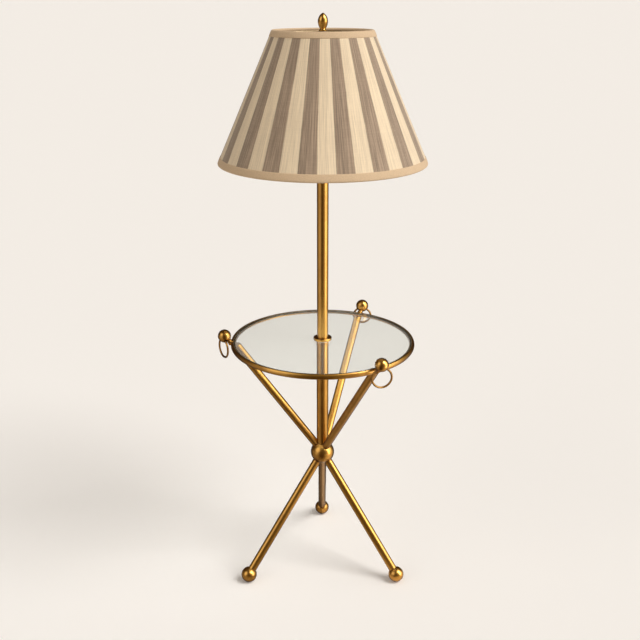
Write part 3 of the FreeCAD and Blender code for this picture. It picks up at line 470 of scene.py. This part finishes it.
@dataclass(frozen=True)
class Felt:
    """Pressed felt."""

    name: str
    colour: Colour
    fibre_scale: float = 1500.0
    fibred: Span = (0.35, 0.7)
    tuft_scale: float = 300.0
    paler: float = 1.9
    relief: float = 0.3 * MM

    def material(self) -> bpy.types.Material:
        """Builds the material.

        Returns:
            The felt.
        """
        s = Shader(self.name)
        fibres = s.noise(self.fibre_scale, 5.0, 0.7)
        tufts = s.noise(self.tuft_scale, 3.0)
        return s.principled(
            Base_Color=s.mix(fibres.step(*self.fibred), self.colour, shaded(self.colour, self.paler)),
            Roughness=0.95, Sheen_Weight=0.4, Sheen_Roughness=0.5,
            Normal=s.bump(fibres + tufts, self.relief, 0.8))


@dataclass(frozen=True)
class TableGlass:
    """Clear float glass, dark green towards its polished edge, where the glass's own green is deepened into
    painted shade under the rim, with a few faint wipe marks.
    """

    name: str
    clear: Colour = (0.952, 0.980, 0.962)
    edge: Colour = (0.20, 0.27, 0.19)
    edge_tint_and_shade: Span = (219.5 * MM, 223.0 * MM)
    veil: float = 0.045
    wipe_scale: float = 9.0
    wipe_stretch: tuple[float, float, float] = (1.0, 3.5, 1.0)
    wiped: Span = (0.55, 0.9)
    wipe_rough: float = 0.035

    def material(self) -> bpy.types.Material:
        """Builds the material.

        Returns:
            The glass.
        """
        s = Shader(self.name)
        reach = s.distance((0.0, 0.0, 0.0), flat=True)
        wipes = s.noise(self.wipe_scale, 4.0, 0.6, stretch=self.wipe_stretch)
        return s.principled(
            # painted shade: the glass turns dark green within a few millimetres of the rim, its own edge
            # green deepened to stand for the shade there
            Base_Color=s.mix(reach.step(*self.edge_tint_and_shade), self.clear, self.edge),
            Roughness=wipes.step(*self.wiped) * self.wipe_rough, IOR=1.5,
            Transmission_Weight=1.0 - self.veil)


@dataclass(frozen=True)
class OpalGlass:
    """The bulb's frosted glass."""

    name: str
    colour: Colour = (0.93, 0.92, 0.89)
    darker: float = 0.96
    frost_scale: float = 1100.0
    rough: float = 0.28
    frost_rough: float = 0.12
    relief: float = 0.02 * MM

    def material(self) -> bpy.types.Material:
        """Builds the material.

        Returns:
            The glass.
        """
        s = Shader(self.name)
        frost = s.noise(self.frost_scale, 3.0)
        return s.principled(
            Base_Color=s.mix(frost, self.colour, shaded(self.colour, self.darker)),
            Roughness=self.rough + frost * self.frost_rough, IOR=1.46, Coat_Weight=0.25,
            Subsurface_Weight=0.25, Subsurface_Scale=4.0 * MM, Normal=s.bump(frost, self.relief, 0.4))


@dataclass(frozen=True)
class StripedLinen:
    """Linen in upright stripes of two colours that narrow towards the top of the shade."""

    name: str
    cream: Colour = (0.96, 0.775, 0.55)
    cream_tones: Span = (0.76, 1.06)
    taupe: Colour = (0.392, 0.290, 0.207)
    taupe_tones: Span = (0.58, 1.34)
    pairs: int = 18
    cream_middle: float = -88.0
    stripe_edge: Span = (0.235, 0.265)
    threads: int = 1400
    rows: float = 1150.0
    true_radius: float = 180.0 * MM
    wander_scale: float = 40.0
    wander: float = 0.02
    slub_scale: float = 560.0
    slub_stretch: tuple[float, float, float] = (1.0, 1.0, 0.018)
    cross_stretch: tuple[float, float, float] = (0.06, 0.06, 1.0)
    cloud_scale: float = 18.0
    gloss: float = 0.25
    relief: float = 0.35 * MM

    def material(self) -> bpy.types.Material:
        """Builds the material.

        Returns:
            The striped linen, with slubs up the slope and finer ones across it.
        """
        s = Shader(self.name)
        slope = s.around(self.true_radius)
        wander = (s.noise(self.wander_scale, 2.0, along=slope) - 0.5) * self.wander
        phase = (s.turn() - self.cream_middle / 360.0) * self.pairs + wander
        fold = phase.weave(1.0)
        taupe = 1.0 - fold.step(*self.stripe_edge)
        slub = s.noise(self.slub_scale, 3.0, 0.7, stretch=self.slub_stretch, along=slope)
        cross = s.noise(self.slub_scale, 3.0, 0.6, stretch=self.cross_stretch, along=slope)
        streak = (slub.step(0.34, 0.66) * 0.72 + cross.step(0.36, 0.7) * 0.12
                  + s.noise(self.cloud_scale, 3.0) * 0.16)
        cream, dark = (s.mix(streak, *(shaded(colour, tone) for tone in tones))
                       for colour, tones in ((self.cream, self.cream_tones), (self.taupe, self.taupe_tones)))
        threads = s.turn().weave(self.threads) + s.axes()[2].weave(self.rows)
        seams = (fold - 0.25).math("ABSOLUTE").step(0.0, 0.03)
        return s.principled(
            Base_Color=s.mix(taupe, cream, dark), Roughness=0.86, Sheen_Weight=0.30, Sheen_Roughness=0.5,
            Specular_IOR_Level=self.gloss,
            Normal=s.bump(threads * 0.55 + slub * 0.8 + cross * 0.5 + seams * 0.5, self.relief, 0.75))


@dataclass(frozen=True)
class Cloth:
    """A plain woven cloth or ribbed tape round the lamp's centreline."""

    name: str
    colour: Colour
    ribs: int = 1500
    rows: float = 1400.0
    relief: float = 0.3 * MM
    tones: Span = (0.82, 1.05)
    fuzz_scale: float = 520.0
    fuzzed: Span = (0.3, 0.7)
    cloud_scale: float = 30.0
    gloss: float = 0.25

    def material(self) -> bpy.types.Material:
        """Builds the material.

        Returns:
            The cloth.
        """
        s = Shader(self.name)
        threads = s.turn().weave(self.ribs) + s.axes()[2].weave(self.rows)
        fuzz = s.noise(self.fuzz_scale, 4.0, 0.6)
        tone = fuzz.step(*self.fuzzed) * 0.6 + s.noise(self.cloud_scale, 3.0) * 0.4
        return s.principled(
            Base_Color=s.mix(tone, *(shaded(self.colour, share) for share in self.tones)),
            Roughness=0.88, Sheen_Weight=0.15, Sheen_Roughness=0.4, Specular_IOR_Level=self.gloss,
            Normal=s.bump(threads * 0.7 + fuzz * 0.6, self.relief, 0.7))


# ---------------------------------------------------------------- shaping

def spun(name: str, points: list[tuple[float, float]], steps: int, rows: int = 0,
         closed: bool = False) -> bpy.types.Object:
    """Spins a section round the lamp's centreline.

    Args:
        name: the piece's name.
        points: the section as (radius, height), in metres.
        steps: how many steps go round.
        rows: cuts along each edge of the section.
        closed: joins the section's last point to its first.

    Returns:
        The new piece, linked to the scene.
    """
    form = bmesh.new()
    corners = [form.verts.new((radius, 0.0, height)) for radius, height in points]
    pairs = list(zip(corners, corners[1:]))
    if closed:
        pairs.append((corners[-1], corners[0]))
    edges = [form.edges.new(pair) for pair in pairs]
    if rows:
        bmesh.ops.subdivide_edges(form, edges=edges, cuts=rows)
    bmesh.ops.spin(form, geom=form.verts[:] + form.edges[:], cent=(0, 0, 0), axis=UPRIGHT,
                   dvec=(0, 0, 0), angle=2 * math.pi, steps=steps, use_merge=True)
    bmesh.ops.remove_doubles(form, verts=form.verts[:], dist=WELD_REACH)
    bmesh.ops.recalc_face_normals(form, faces=form.faces[:])
    return piece_of(name, form)


def outwards(spot: Vector) -> Vector:
    """The level direction from the lamp's centreline to a spot."""
    return Vector((spot.x, spot.y, 0.0)).normalized()


def piece_of(name: str, form: bmesh.types.BMesh) -> bpy.types.Object:
    """Turns a bmesh into a smooth-shaded piece in the scene, and frees the bmesh.

    Args:
        name: the piece's name.
        form: the bmesh.

    Returns:
        The piece.
    """
    mesh = bpy.data.meshes.new(name)
    for face in form.faces:
        face.smooth = True
    form.to_mesh(mesh)
    form.free()
    made = bpy.data.objects.new(name, mesh)
    bpy.context.scene.collection.objects.link(made)
    return made


class Edges(Enum):
    """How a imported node's edges are shaded."""

    CRISP = math.radians(24)
    SOFT = math.radians(42)


def dress(node: str, material: bpy.types.Material, edges: Edges = Edges.CRISP) -> None:
    """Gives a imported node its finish, and shades its curved faces smoothly.

    Args:
        node: the node's name.
        material: its finish.
        edges: which of its edges stay sharp.
    """
    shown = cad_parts[node]
    shown.data.materials.clear()
    shown.data.materials.append(material)
    shown.data.polygons.foreach_set("use_smooth", [True] * len(shown.data.polygons))
    weld = shown.modifiers.new("weld", "WELD")
    weld.merge_threshold = WELD_REACH
    split = shown.modifiers.new("edges", "EDGE_SPLIT")
    split.split_angle = edges.value
    LOG.info("dressed %s in %s", node, material.name)


# ---------------------------------------------------------------- sub-assemblies

BALL_ROUGH = 0.28                              # turned and polished balls and knobs


@dataclass
class Stand:
    """The hub ball with its legs, feet, rods and column."""

    hub_height: float = 322.7 * MM
    hub_radius: float = 30.5 * MM
    limbs: tuple[str, ...] = ("leg_right", "leg_back", "leg_left", "rod_front", "rod_back", "rod_left",
                              "lower_column")
    feet: tuple[str, ...] = ("right", "back", "left")
    foot_radius: float = 20.0 * MM
    leg_radius: float = 10.5 * MM
    pad_radius: float = 7.0 * MM
    pad_thickness: float = 2.5 * MM
    pad_edge: float = 0.5 * MM
    pad_reach: float = 223.0 * MM
    pad_turns: tuple[float, ...] = (-29.7, 90.3, 210.3)
    pad_sides: int = 64
    pad_edge_steps: int = 4
    pad_rings: int = 3
    pad_ring_share: float = 0.2
    pad_grain: float = 900.0
    pad_press: float = 0.06

    def build(self) -> bpy.types.Object:
        """Builds the three felt pads under the feet, with soft edges and a pressed, uneven underside.

        Returns:
            The pads.
        """
        form = bmesh.new()
        for turn in self.pad_turns:
            place = Matrix.Rotation(math.radians(turn), 4, "Z") @ Matrix.Translation(
                (self.pad_reach, 0.0, self.pad_thickness / 2))
            bmesh.ops.create_cone(form, cap_ends=True, segments=self.pad_sides, radius1=self.pad_radius,
                                  radius2=self.pad_radius, depth=self.pad_thickness, matrix=place)
        rims = [edge for edge in form.edges if any(self.is_cap(face) for face in edge.link_faces)]
        bmesh.ops.bevel(form, geom=rims, offset=self.pad_edge, offset_type="OFFSET",
                        segments=self.pad_edge_steps, profile=0.5, affect="EDGES", clamp_overlap=True,
                        material=-1)
        for _ in range(self.pad_rings):
            bmesh.ops.inset_individual(form, faces=[face for face in form.faces if self.is_cap(face)],
                                       thickness=self.pad_radius * self.pad_ring_share,
                                       use_even_offset=True)
        pads = piece_of("felt_pads", form)
        for vertex in pads.data.vertices:
            inward = noise.noise(vertex.co * self.pad_grain) * 0.5 + 0.5
            vertex.co.z += (self.pad_thickness / 2 - vertex.co.z) * self.pad_press * inward
        return pads

    @staticmethod
    def is_cap(face: bmesh.types.BMFace) -> bool:
        """Whether a face is a pad's round top or bottom."""
        return len(face.verts) > 4

    def dress(self) -> None:
        """Dresses the tubes, the balls, and what joins them."""
        # painted shade: the tubes darken within a few millimetres of the hub ball, where they meet it
        hub = PaintedShade((0.0, 0.0, self.hub_height), self.hub_radius + 0.5 * MM, 4.0 * MM)
        for place, limb in enumerate(self.limbs):
            dress(limb, AgedBrass("brass_" + limb, shade_spots=(hub,), shift=1.7 * place).material())
        for place, name in enumerate(self.feet):
            node = "foot_ball_" + name
            low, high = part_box(node)
            middle = Vector(((low.x + high.x) / 2, (low.y + high.y) / 2, high.z - self.foot_radius))
            joint = middle + (Vector((0.0, 0.0, self.hub_height)) - middle).normalized() * self.foot_radius
            # painted shade: each foot ball darkens at its underside above its pad, and round the leg where
            # it enters the ball
            shade_spots = (PaintedShade((middle.x, middle.y, low.z), 8.0 * MM, 10.0 * MM),
                      PaintedShade(tuple(joint), self.leg_radius, 3.0 * MM))
            brass = AgedBrass("brass_" + node, rough=BALL_ROUGH, shade_spots=shade_spots, shift=3.1 * place)
            dress(node, brass.material())
        dress("hub_ball", AgedBrass("brass_hub", rough=BALL_ROUGH, shift=9.0).material())
        dress("upper_column", AgedBrass("brass_column", shift=5.0).material())
        inner = AgedBrass("brass_inner", toning=0.8).material()
        for node in ("rod_caps", "leg_plugs", "rod_plugs", "column_plug", "column_coupling"):
            dress(node, inner)
        steel = PlainMetal("zinc_steel", (0.60, 0.61, 0.62)).material()
        for node in ("studs", "hub_pipe", "cap_pipe", "collar_screw"):
            dress(node, steel)
        pads = self.build()
        pads.data.materials.append(Felt("pad_felt", (0.045, 0.034, 0.022)).material())
        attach(pads, "stand")
        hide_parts("foot_pads")
        LOG.info("built %s for foot_pads", pads.name)
        dress("cord_outlet", Moulded("outlet_black", (0.018, 0.018, 0.018), 0.4).material(), Edges.SOFT)


@dataclass
class Table:
    """The rim with its glass, glazing strip and collar."""

    def dress(self) -> None:
        """Dresses the table's pieces."""
        dress("table_rim", AgedBrass("brass_rim", rough=0.33, toning=0.85, shift=2.2).material())
        strip = Moulded("glazing_strip_brown", (0.15, 0.095, 0.040), 0.6, gloss=0.12)
        dress("glazing_strip", strip.material())
        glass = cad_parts["glass_top"]
        dress("glass_top", TableGlass("table_glass").material())
        glass.visible_shadow = False
        dress("collar_gasket", Moulded("clear_gasket", (0.45, 0.47, 0.44), 0.3).material())
        dress("glass_collar", AgedBrass("brass_collar", rough=BALL_ROUGH, shift=4.0).material(), Edges.SOFT)


@dataclass
class PullSet:
    """One pull ball with its neck and its loose ring."""

    name: str
    shift: float
    bore_drop: float = 10.0 * MM
    bore_reach: float = 13.0 * MM
    ring_bright: Colour = (0.50, 0.265, 0.055)
    ring_toned: Colour = (0.26, 0.11, 0.016)

    def dress(self) -> None:
        """Dresses the set, with painted shade under the ball and on the ring where it passes into the ball.
        """
        ball, ring, neck = (kind + self.name for kind in ("pull_ball_", "pull_ring_", "neck_"))
        low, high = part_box(ball)
        middle = (low + high) / 2
        # painted shade: the ball darkens at its underside over its neck, and the ring where it passes into
        # the ball's bore
        under = PaintedShade((middle.x, middle.y, low.z), 5.0 * MM, 9.0 * MM)
        crown = PaintedShade((middle.x, middle.y, middle.z - self.bore_drop), self.bore_reach, 6.0 * MM)
        dress(ball, AgedBrass("brass_" + ball, rough=BALL_ROUGH, shade_spots=(under,),
                              shift=self.shift).material())
        dress(ring, AgedBrass("brass_" + ring, self.ring_bright, self.ring_toned, rough=0.34,
                              shade_spots=(crown,), shift=self.shift + 1).material())
        dress(neck, AgedBrass("brass_" + neck, rough=0.3, toning=0.7, shift=self.shift + 2).material())


@dataclass
class LampHolder:
    """What stands on the column inside the shade: cap, saddle, harp, holder, key and bulb."""

    def dress(self) -> None:
        """Dresses the holder's pieces."""
        brass = AgedBrass("brass_fittings", rough=0.24, toning=0.3).material()
        for node in ("column_cap", "harp_saddle", "harp", "harp_ferrules", "holder_cap", "holder_shell"):
            dress(node, brass, Edges.SOFT)
        bright = PlainMetal("bright_brass", (0.83, 0.62, 0.28), 0.25).material()
        for node in ("screw_shell", "centre_contact"):
            dress(node, bright)
        black = Moulded("moulded_black", (0.02, 0.02, 0.02), 0.42).material()
        for node in ("holder_body", "switch_key"):
            dress(node, black)
        dress("holder_sleeve", Moulded("fibre_sleeve", (0.36, 0.25, 0.13), 0.8, 400.0).material())
        dress("bulb_base", PlainMetal("bulb_metal", (0.80, 0.80, 0.79), 0.28).material())
        dress("bulb_glass", OpalGlass("bulb_opal").material(), Edges.SOFT)


@dataclass
class Shade:
    """The cone shade: striped cloth on a lining, a tape over each edge, and the wire frame."""

    top: float = 1384.0 * MM
    bottom: float = 1085.0 * MM
    top_radius: float = 115.5 * MM
    bottom_radius: float = 247.6 * MM
    cloth_inset: float = 0.95 * MM
    cloth_thickness: float = 1.3 * MM
    stripes: int = 36
    steps_per_stripe: int = 8
    steps_down: int = 47
    seam_from: float = 0.6
    seam_dip: float = 0.35 * MM
    wave_scale: float = 14.0
    wave: float = 0.3 * MM
    tape_skin: float = 0.8 * MM
    tape_depth: float = 6.4 * MM
    top_tape_width: float = 16.0 * MM
    bottom_tape_width: float = 18.0 * MM
    tape_inside: float = 9.0 * MM
    tape_steps: int = 240
    tape_wave_scale: float = 45.0
    tape_wave: float = 0.18 * MM
    cream_middle: float = -88.0
    made: dict[str, bpy.types.Object] = field(default_factory=dict)

    @property
    def slant(self) -> float:
        """Length of the shade's slope."""
        return math.hypot(self.top - self.bottom, self.bottom_radius - self.top_radius)

    def on_slope(self, along: float, inward: float) -> tuple[float, float]:
        """The point of the section at a distance down the slope and inwards from its face.

        Args:
            along: distance down the slope from the top edge.
            inward: distance inwards, square to the slope.

        Returns:
            The point's radius and height.
        """
        out = (self.bottom_radius - self.top_radius) / self.slant
        down = (self.top - self.bottom) / self.slant
        return (self.top_radius + along * out - inward * down, self.top - along * down - inward * out)

    def build(self) -> None:
        """Builds the cloth and the tapes."""
        self.made["cloth"] = self.build_cloth()
        self.made["top_tape"] = self.build_tape("shade_top_tape", 0.0, 1, self.top_tape_width)
        self.made["bottom_tape"] = self.build_tape("shade_bottom_tape", self.slant, -1,
                                                   self.bottom_tape_width)

    def build_cloth(self) -> bpy.types.Object:
        """Builds the cloth with its lining, drawn in slightly along each stripe's edge.

        Returns:
            The cloth.
        """
        outside = self.cloth_inset
        inside = outside + self.cloth_thickness
        low = self.slant - outside
        section = [self.on_slope(outside, outside), self.on_slope(low, outside),
                   self.on_slope(low, inside), self.on_slope(outside, inside)]
        cloth = spun("shade_cloth", section, self.stripes * self.steps_per_stripe, rows=self.steps_down,
                     closed=True)
        for vertex in cloth.data.vertices:
            turn = math.degrees(math.atan2(vertex.co.y, vertex.co.x))
            stripe = (turn - self.cream_middle) / 360.0 * self.stripes + 0.5
            off = abs(stripe - math.floor(stripe) - 0.5) * 2.0
            hollow = max(0.0, off - self.seam_from) / (1.0 - self.seam_from)
            wave = noise.noise(vertex.co * self.wave_scale) * self.wave
            vertex.co += outwards(vertex.co) * (wave - hollow * hollow * self.seam_dip)
        return cloth

    def build_tape(self, name: str, edge: float, fold: int, width: float) -> bpy.types.Object:
        """Builds a tape folded over an edge of the cloth.

        Args:
            name: the piece's name.
            edge: the edge's distance down the slope.
            fold: 1 at the top edge and -1 at the bottom edge.
            width: how far the tape covers the outside.

        Returns:
            The tape.
        """
        half = self.tape_skin / 2
        deep = self.tape_depth + half
        # down the outside, round the folded edge, and up the inside: (along, inward)
        places = [(width - 0.2 * MM, half + 0.35 * MM), (width - 0.8 * MM, half - 0.05 * MM),
                  (width * 0.5, half - 0.25 * MM), (3.0 * MM, half),
                  (1.1 * MM, half + 0.5 * MM), (0.5 * MM, half + 1.5 * MM), (0.42 * MM, deep / 2),
                  (0.5 * MM, deep - 1.5 * MM), (1.1 * MM, deep - 0.5 * MM),
                  (3.0 * MM, deep), (self.tape_inside, deep)]
        section = [self.on_slope(edge + fold * along, inward) for along, inward in places]
        tape = spun(name, section, self.tape_steps)
        for vertex in tape.data.vertices:
            vertex.co += outwards(vertex.co) * noise.noise(vertex.co * self.tape_wave_scale) * self.tape_wave
        thick = tape.modifiers.new("thickness", "SOLIDIFY")
        thick.thickness = self.tape_skin * 0.9
        thick.offset = 0.0
        smooth = tape.modifiers.new("smooth", "SUBSURF")
        smooth.levels = smooth.render_levels = 1
        return tape

    def dress(self) -> None:
        """Dresses the cloth, its lining, the tapes and the wire frame, and joins them to the frame."""
        cloth = self.made["cloth"]
        cloth.data.materials.append(StripedLinen("striped_linen", cream_middle=self.cream_middle).material())
        cloth.data.materials.append(Cloth("shade_lining", (0.86, 0.80, 0.70), relief=0.15 * MM).material())
        for face in cloth.data.polygons:
            face.material_index = 0 if face.normal.dot(outwards(face.center)) > 0.0 else 1
        tape = Cloth("trim_tape", (0.74, 0.545, 0.355), ribs=900).material()
        for name, node in (("top_tape", "top_trim"), ("bottom_tape", "bottom_trim")):
            self.made[name].data.materials.append(tape)
            self.seat(self.made[name], node)
        self.seat(cloth, "shade_fabric")
        spider = AgedBrass("brass_spider", (0.34, 0.235, 0.11), (0.20, 0.13, 0.06), rough=0.45)
        dress("shade_spider", spider.material(), Edges.SOFT)
        dress("shade_bottom_ring", Moulded("coated_wire", (0.78, 0.78, 0.75), 0.35).material())

    def seat(self, piece: bpy.types.Object, node: str) -> None:
        """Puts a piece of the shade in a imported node's place.

        Args:
            piece: the new piece.
            node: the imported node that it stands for.
        """
        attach(piece, "shade")
        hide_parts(node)
        LOG.info("built %s for %s", piece.name, node)


@dataclass
class Finial:
    """The turned knob that holds the shade."""

    def dress(self) -> None:
        """Dresses the finial."""
        dress("finial", AgedBrass("brass_finial", rough=BALL_ROUGH, toning=0.4, shift=6.0).material(),
              Edges.SOFT)


# ---------------------------------------------------------------- studio

@dataclass
class Lamp:
    """One soft studio light."""

    name: str
    turn: float
    height: float
    power: float
    softness: float
    colour: Colour = (1.0, 0.975, 0.94)

    def build(self) -> None:
        """Adds the light, turn degrees to the right of the camera and height degrees up."""
        data = bpy.data.lights.new(self.name, "SUN")
        data.energy = self.power
        data.angle = math.radians(self.softness)
        data.color = self.colour
        made = bpy.data.objects.new(self.name, data)
        turn, rise = math.radians(self.turn), math.radians(self.height)
        back = Vector((math.sin(turn) * math.cos(rise), -math.cos(turn) * math.cos(rise), math.sin(rise)))
        made.rotation_euler = back.to_track_quat("Z", "Y").to_euler()
        bpy.context.scene.collection.objects.link(made)


@dataclass
class StripBox:
    """A tall softbox that only the metal mirrors."""

    name: str
    turn: float
    away: float
    wide: float
    tall: float
    middle: float
    power: float
    colour: Colour = (1.0, 0.96, 0.90)

    def build(self) -> None:
        """Adds the box, turn degrees to the right of the camera and facing the lamp."""
        data = bpy.data.lights.new(self.name, "AREA")
        data.shape = "RECTANGLE"
        data.size, data.size_y = self.wide, self.tall
        data.energy = self.power
        data.color = self.colour
        made = bpy.data.objects.new(self.name, data)
        turn = math.radians(self.turn)
        made.location = (self.away * math.sin(turn), -self.away * math.cos(turn), self.middle)
        made.rotation_euler = (math.pi / 2, 0.0, turn)
        made.visible_diffuse = False
        made.visible_transmission = False
        bpy.context.scene.collection.objects.link(made)


@dataclass
class Studio:
    """The pale floor and room, the lights and the camera."""

    pale: Colour = (0.905, 0.840, 0.775)
    eye: tuple[float, float, float] = (0.0, -2.1579, 1.4633)
    down: float = 0.344
    right: float = -0.003
    lens: float = 51.57
    floor_half: float = 150.0
    paper: Colour = (0.875, 0.857, 0.842)
    paper_lift: float = 0.10
    bounce: Colour = (0.62, 0.58, 0.53)
    lit_left: Colour = (0.36, 0.29, 0.21)
    lit_right: Colour = (0.95, 0.80, 0.62)
    lit_turn: Span = (0.2, 1.2)
    flag_shade: Colour = (0.055, 0.026, 0.010)
    flag_turn: float = 0.1
    flag_front: Span = (0.30, 0.75)
    flag_behind: Span = (1.7, 2.4)
    flag_reach: Span = (100.0 * MM, 400.0 * MM)
    fill: Colour = (1.0, 0.93, 0.83)
    fill_strength: float = 0.28
    mirrored: Colour = (0.75, 0.42, 0.22)
    mirrored_strength: float = 0.085
    lamps: list[Lamp | StripBox] = field(default_factory=lambda: [
        Lamp("light_key", turn=65.0, height=50.0, power=2.0, softness=30.0),
        Lamp("light_side", turn=80.0, height=16.0, power=0.95, softness=50.0),
        Lamp("light_left", turn=-58.0, height=30.0, power=0.45, softness=46.0, colour=(1.0, 0.93, 0.84)),
        StripBox("box_right", turn=67.0, away=1.5, wide=0.48, tall=2.6, middle=1.30, power=13.0),
        StripBox("box_left", turn=-56.0, away=1.6, wide=1.00, tall=2.6, middle=1.30, power=3.2),
    ])

    def build(self) -> None:
        """Builds the floor, the room, the lights and the camera."""
        self.build_floor()
        self.build_room()
        for lamp in self.lamps:
            lamp.build()
        self.build_camera()

    def build_floor(self) -> None:
        """Builds the floor: pale to the eye, and quieter in reflections."""
        form = bmesh.new()
        bmesh.ops.create_grid(form, x_segments=2, y_segments=2, size=self.floor_half)
        floor = piece_of("floor", form)
        s = Shader("floor_paper")
        paper, bounce, quiet = (s.node("ShaderNodeBsdfDiffuse", None, {"Color": colour}).outputs[0]
                                for colour in (self.paper, self.bounce, self.mirrored_floor(s)))
        lift = s.node("ShaderNodeEmission", None, {"Color": self.pale, "Strength": self.paper_lift})
        pale = s.node("ShaderNodeAddShader", None, {0: paper, 1: lift.outputs[0]})
        floor.data.materials.append(s.finish(s.by_ray(pale.outputs[0], quiet, bounce)))

    def mirrored_floor(self, s: Shader) -> bpy.types.NodeSocket:
        """The floor's colour in the metal: painted shade in front of and behind the lamp, as if by flags,
        and painted light towards the right.

        Args:
            s: the floor's shader.

        Returns:
            The colour's socket.
        """
        x, y, _ = s.axes()
        turn = x.math("ARCTAN2", y * -1.0)
        # painted shade where flags would stand, in front of and behind the lamp
        front = 1.0 - (turn + self.flag_turn).math("ABSOLUTE").step(*self.flag_front)
        behind = turn.math("ABSOLUTE").step(*self.flag_behind)
        reach = s.distance((0.0, 0.0, 0.0), flat=True).step(*self.flag_reach)
        # painted light: the floor is brighter towards the right, where the softbox stands
        lit = s.mix(turn.step(*self.lit_turn), self.lit_left, self.lit_right)
        return s.mix(((front + behind) * reach).clamped(), lit, self.flag_shade)

    def build_room(self) -> None:
        """Builds the room: pale behind the lamp, dim in its metal."""
        world = bpy.data.worlds.new("studio")
        world.use_nodes = True
        room = Graph(world.node_tree)
        pale, mirrored, fill = (
            room.node("ShaderNodeBackground", None, {"Color": colour, "Strength": strength}).outputs[0]
            for colour, strength in ((self.pale, 1.0), (self.mirrored, self.mirrored_strength),
                                     (self.fill, self.fill_strength)))
        room.node("ShaderNodeOutputWorld", None, {"Surface": room.by_ray(pale, mirrored, fill)})
        bpy.context.scene.world = world

    def build_camera(self) -> None:
        """Puts the camera where the photograph was taken from."""
        data = bpy.data.cameras.new("camera")
        data.lens = self.lens
        data.sensor_width = 36.0
        data.clip_start, data.clip_end = 0.05, 500.0
        camera = bpy.data.objects.new("camera", data)
        camera.location = self.eye
        camera.rotation_euler = (math.pi / 2 - self.down, 0.0, -self.right)
        bpy.context.scene.collection.objects.link(camera)
        bpy.context.scene.camera = camera


def main() -> None:
    """Builds the lamp's looks and its studio."""
    logging.basicConfig(level=logging.INFO, format="%(name)s: %(message)s")
    bpy.context.scene.view_settings.view_transform = "Standard"
    Studio().build()
    Stand().dress()
    Table().dress()
    for place, name in enumerate(("front", "back", "left")):
        PullSet(name, 2.3 * place).dress()
    LampHolder().dress()
    shade = Shade()
    shade.build()
    shade.dress()
    Finial().dress()


if __name__ == "__main__":
    main()
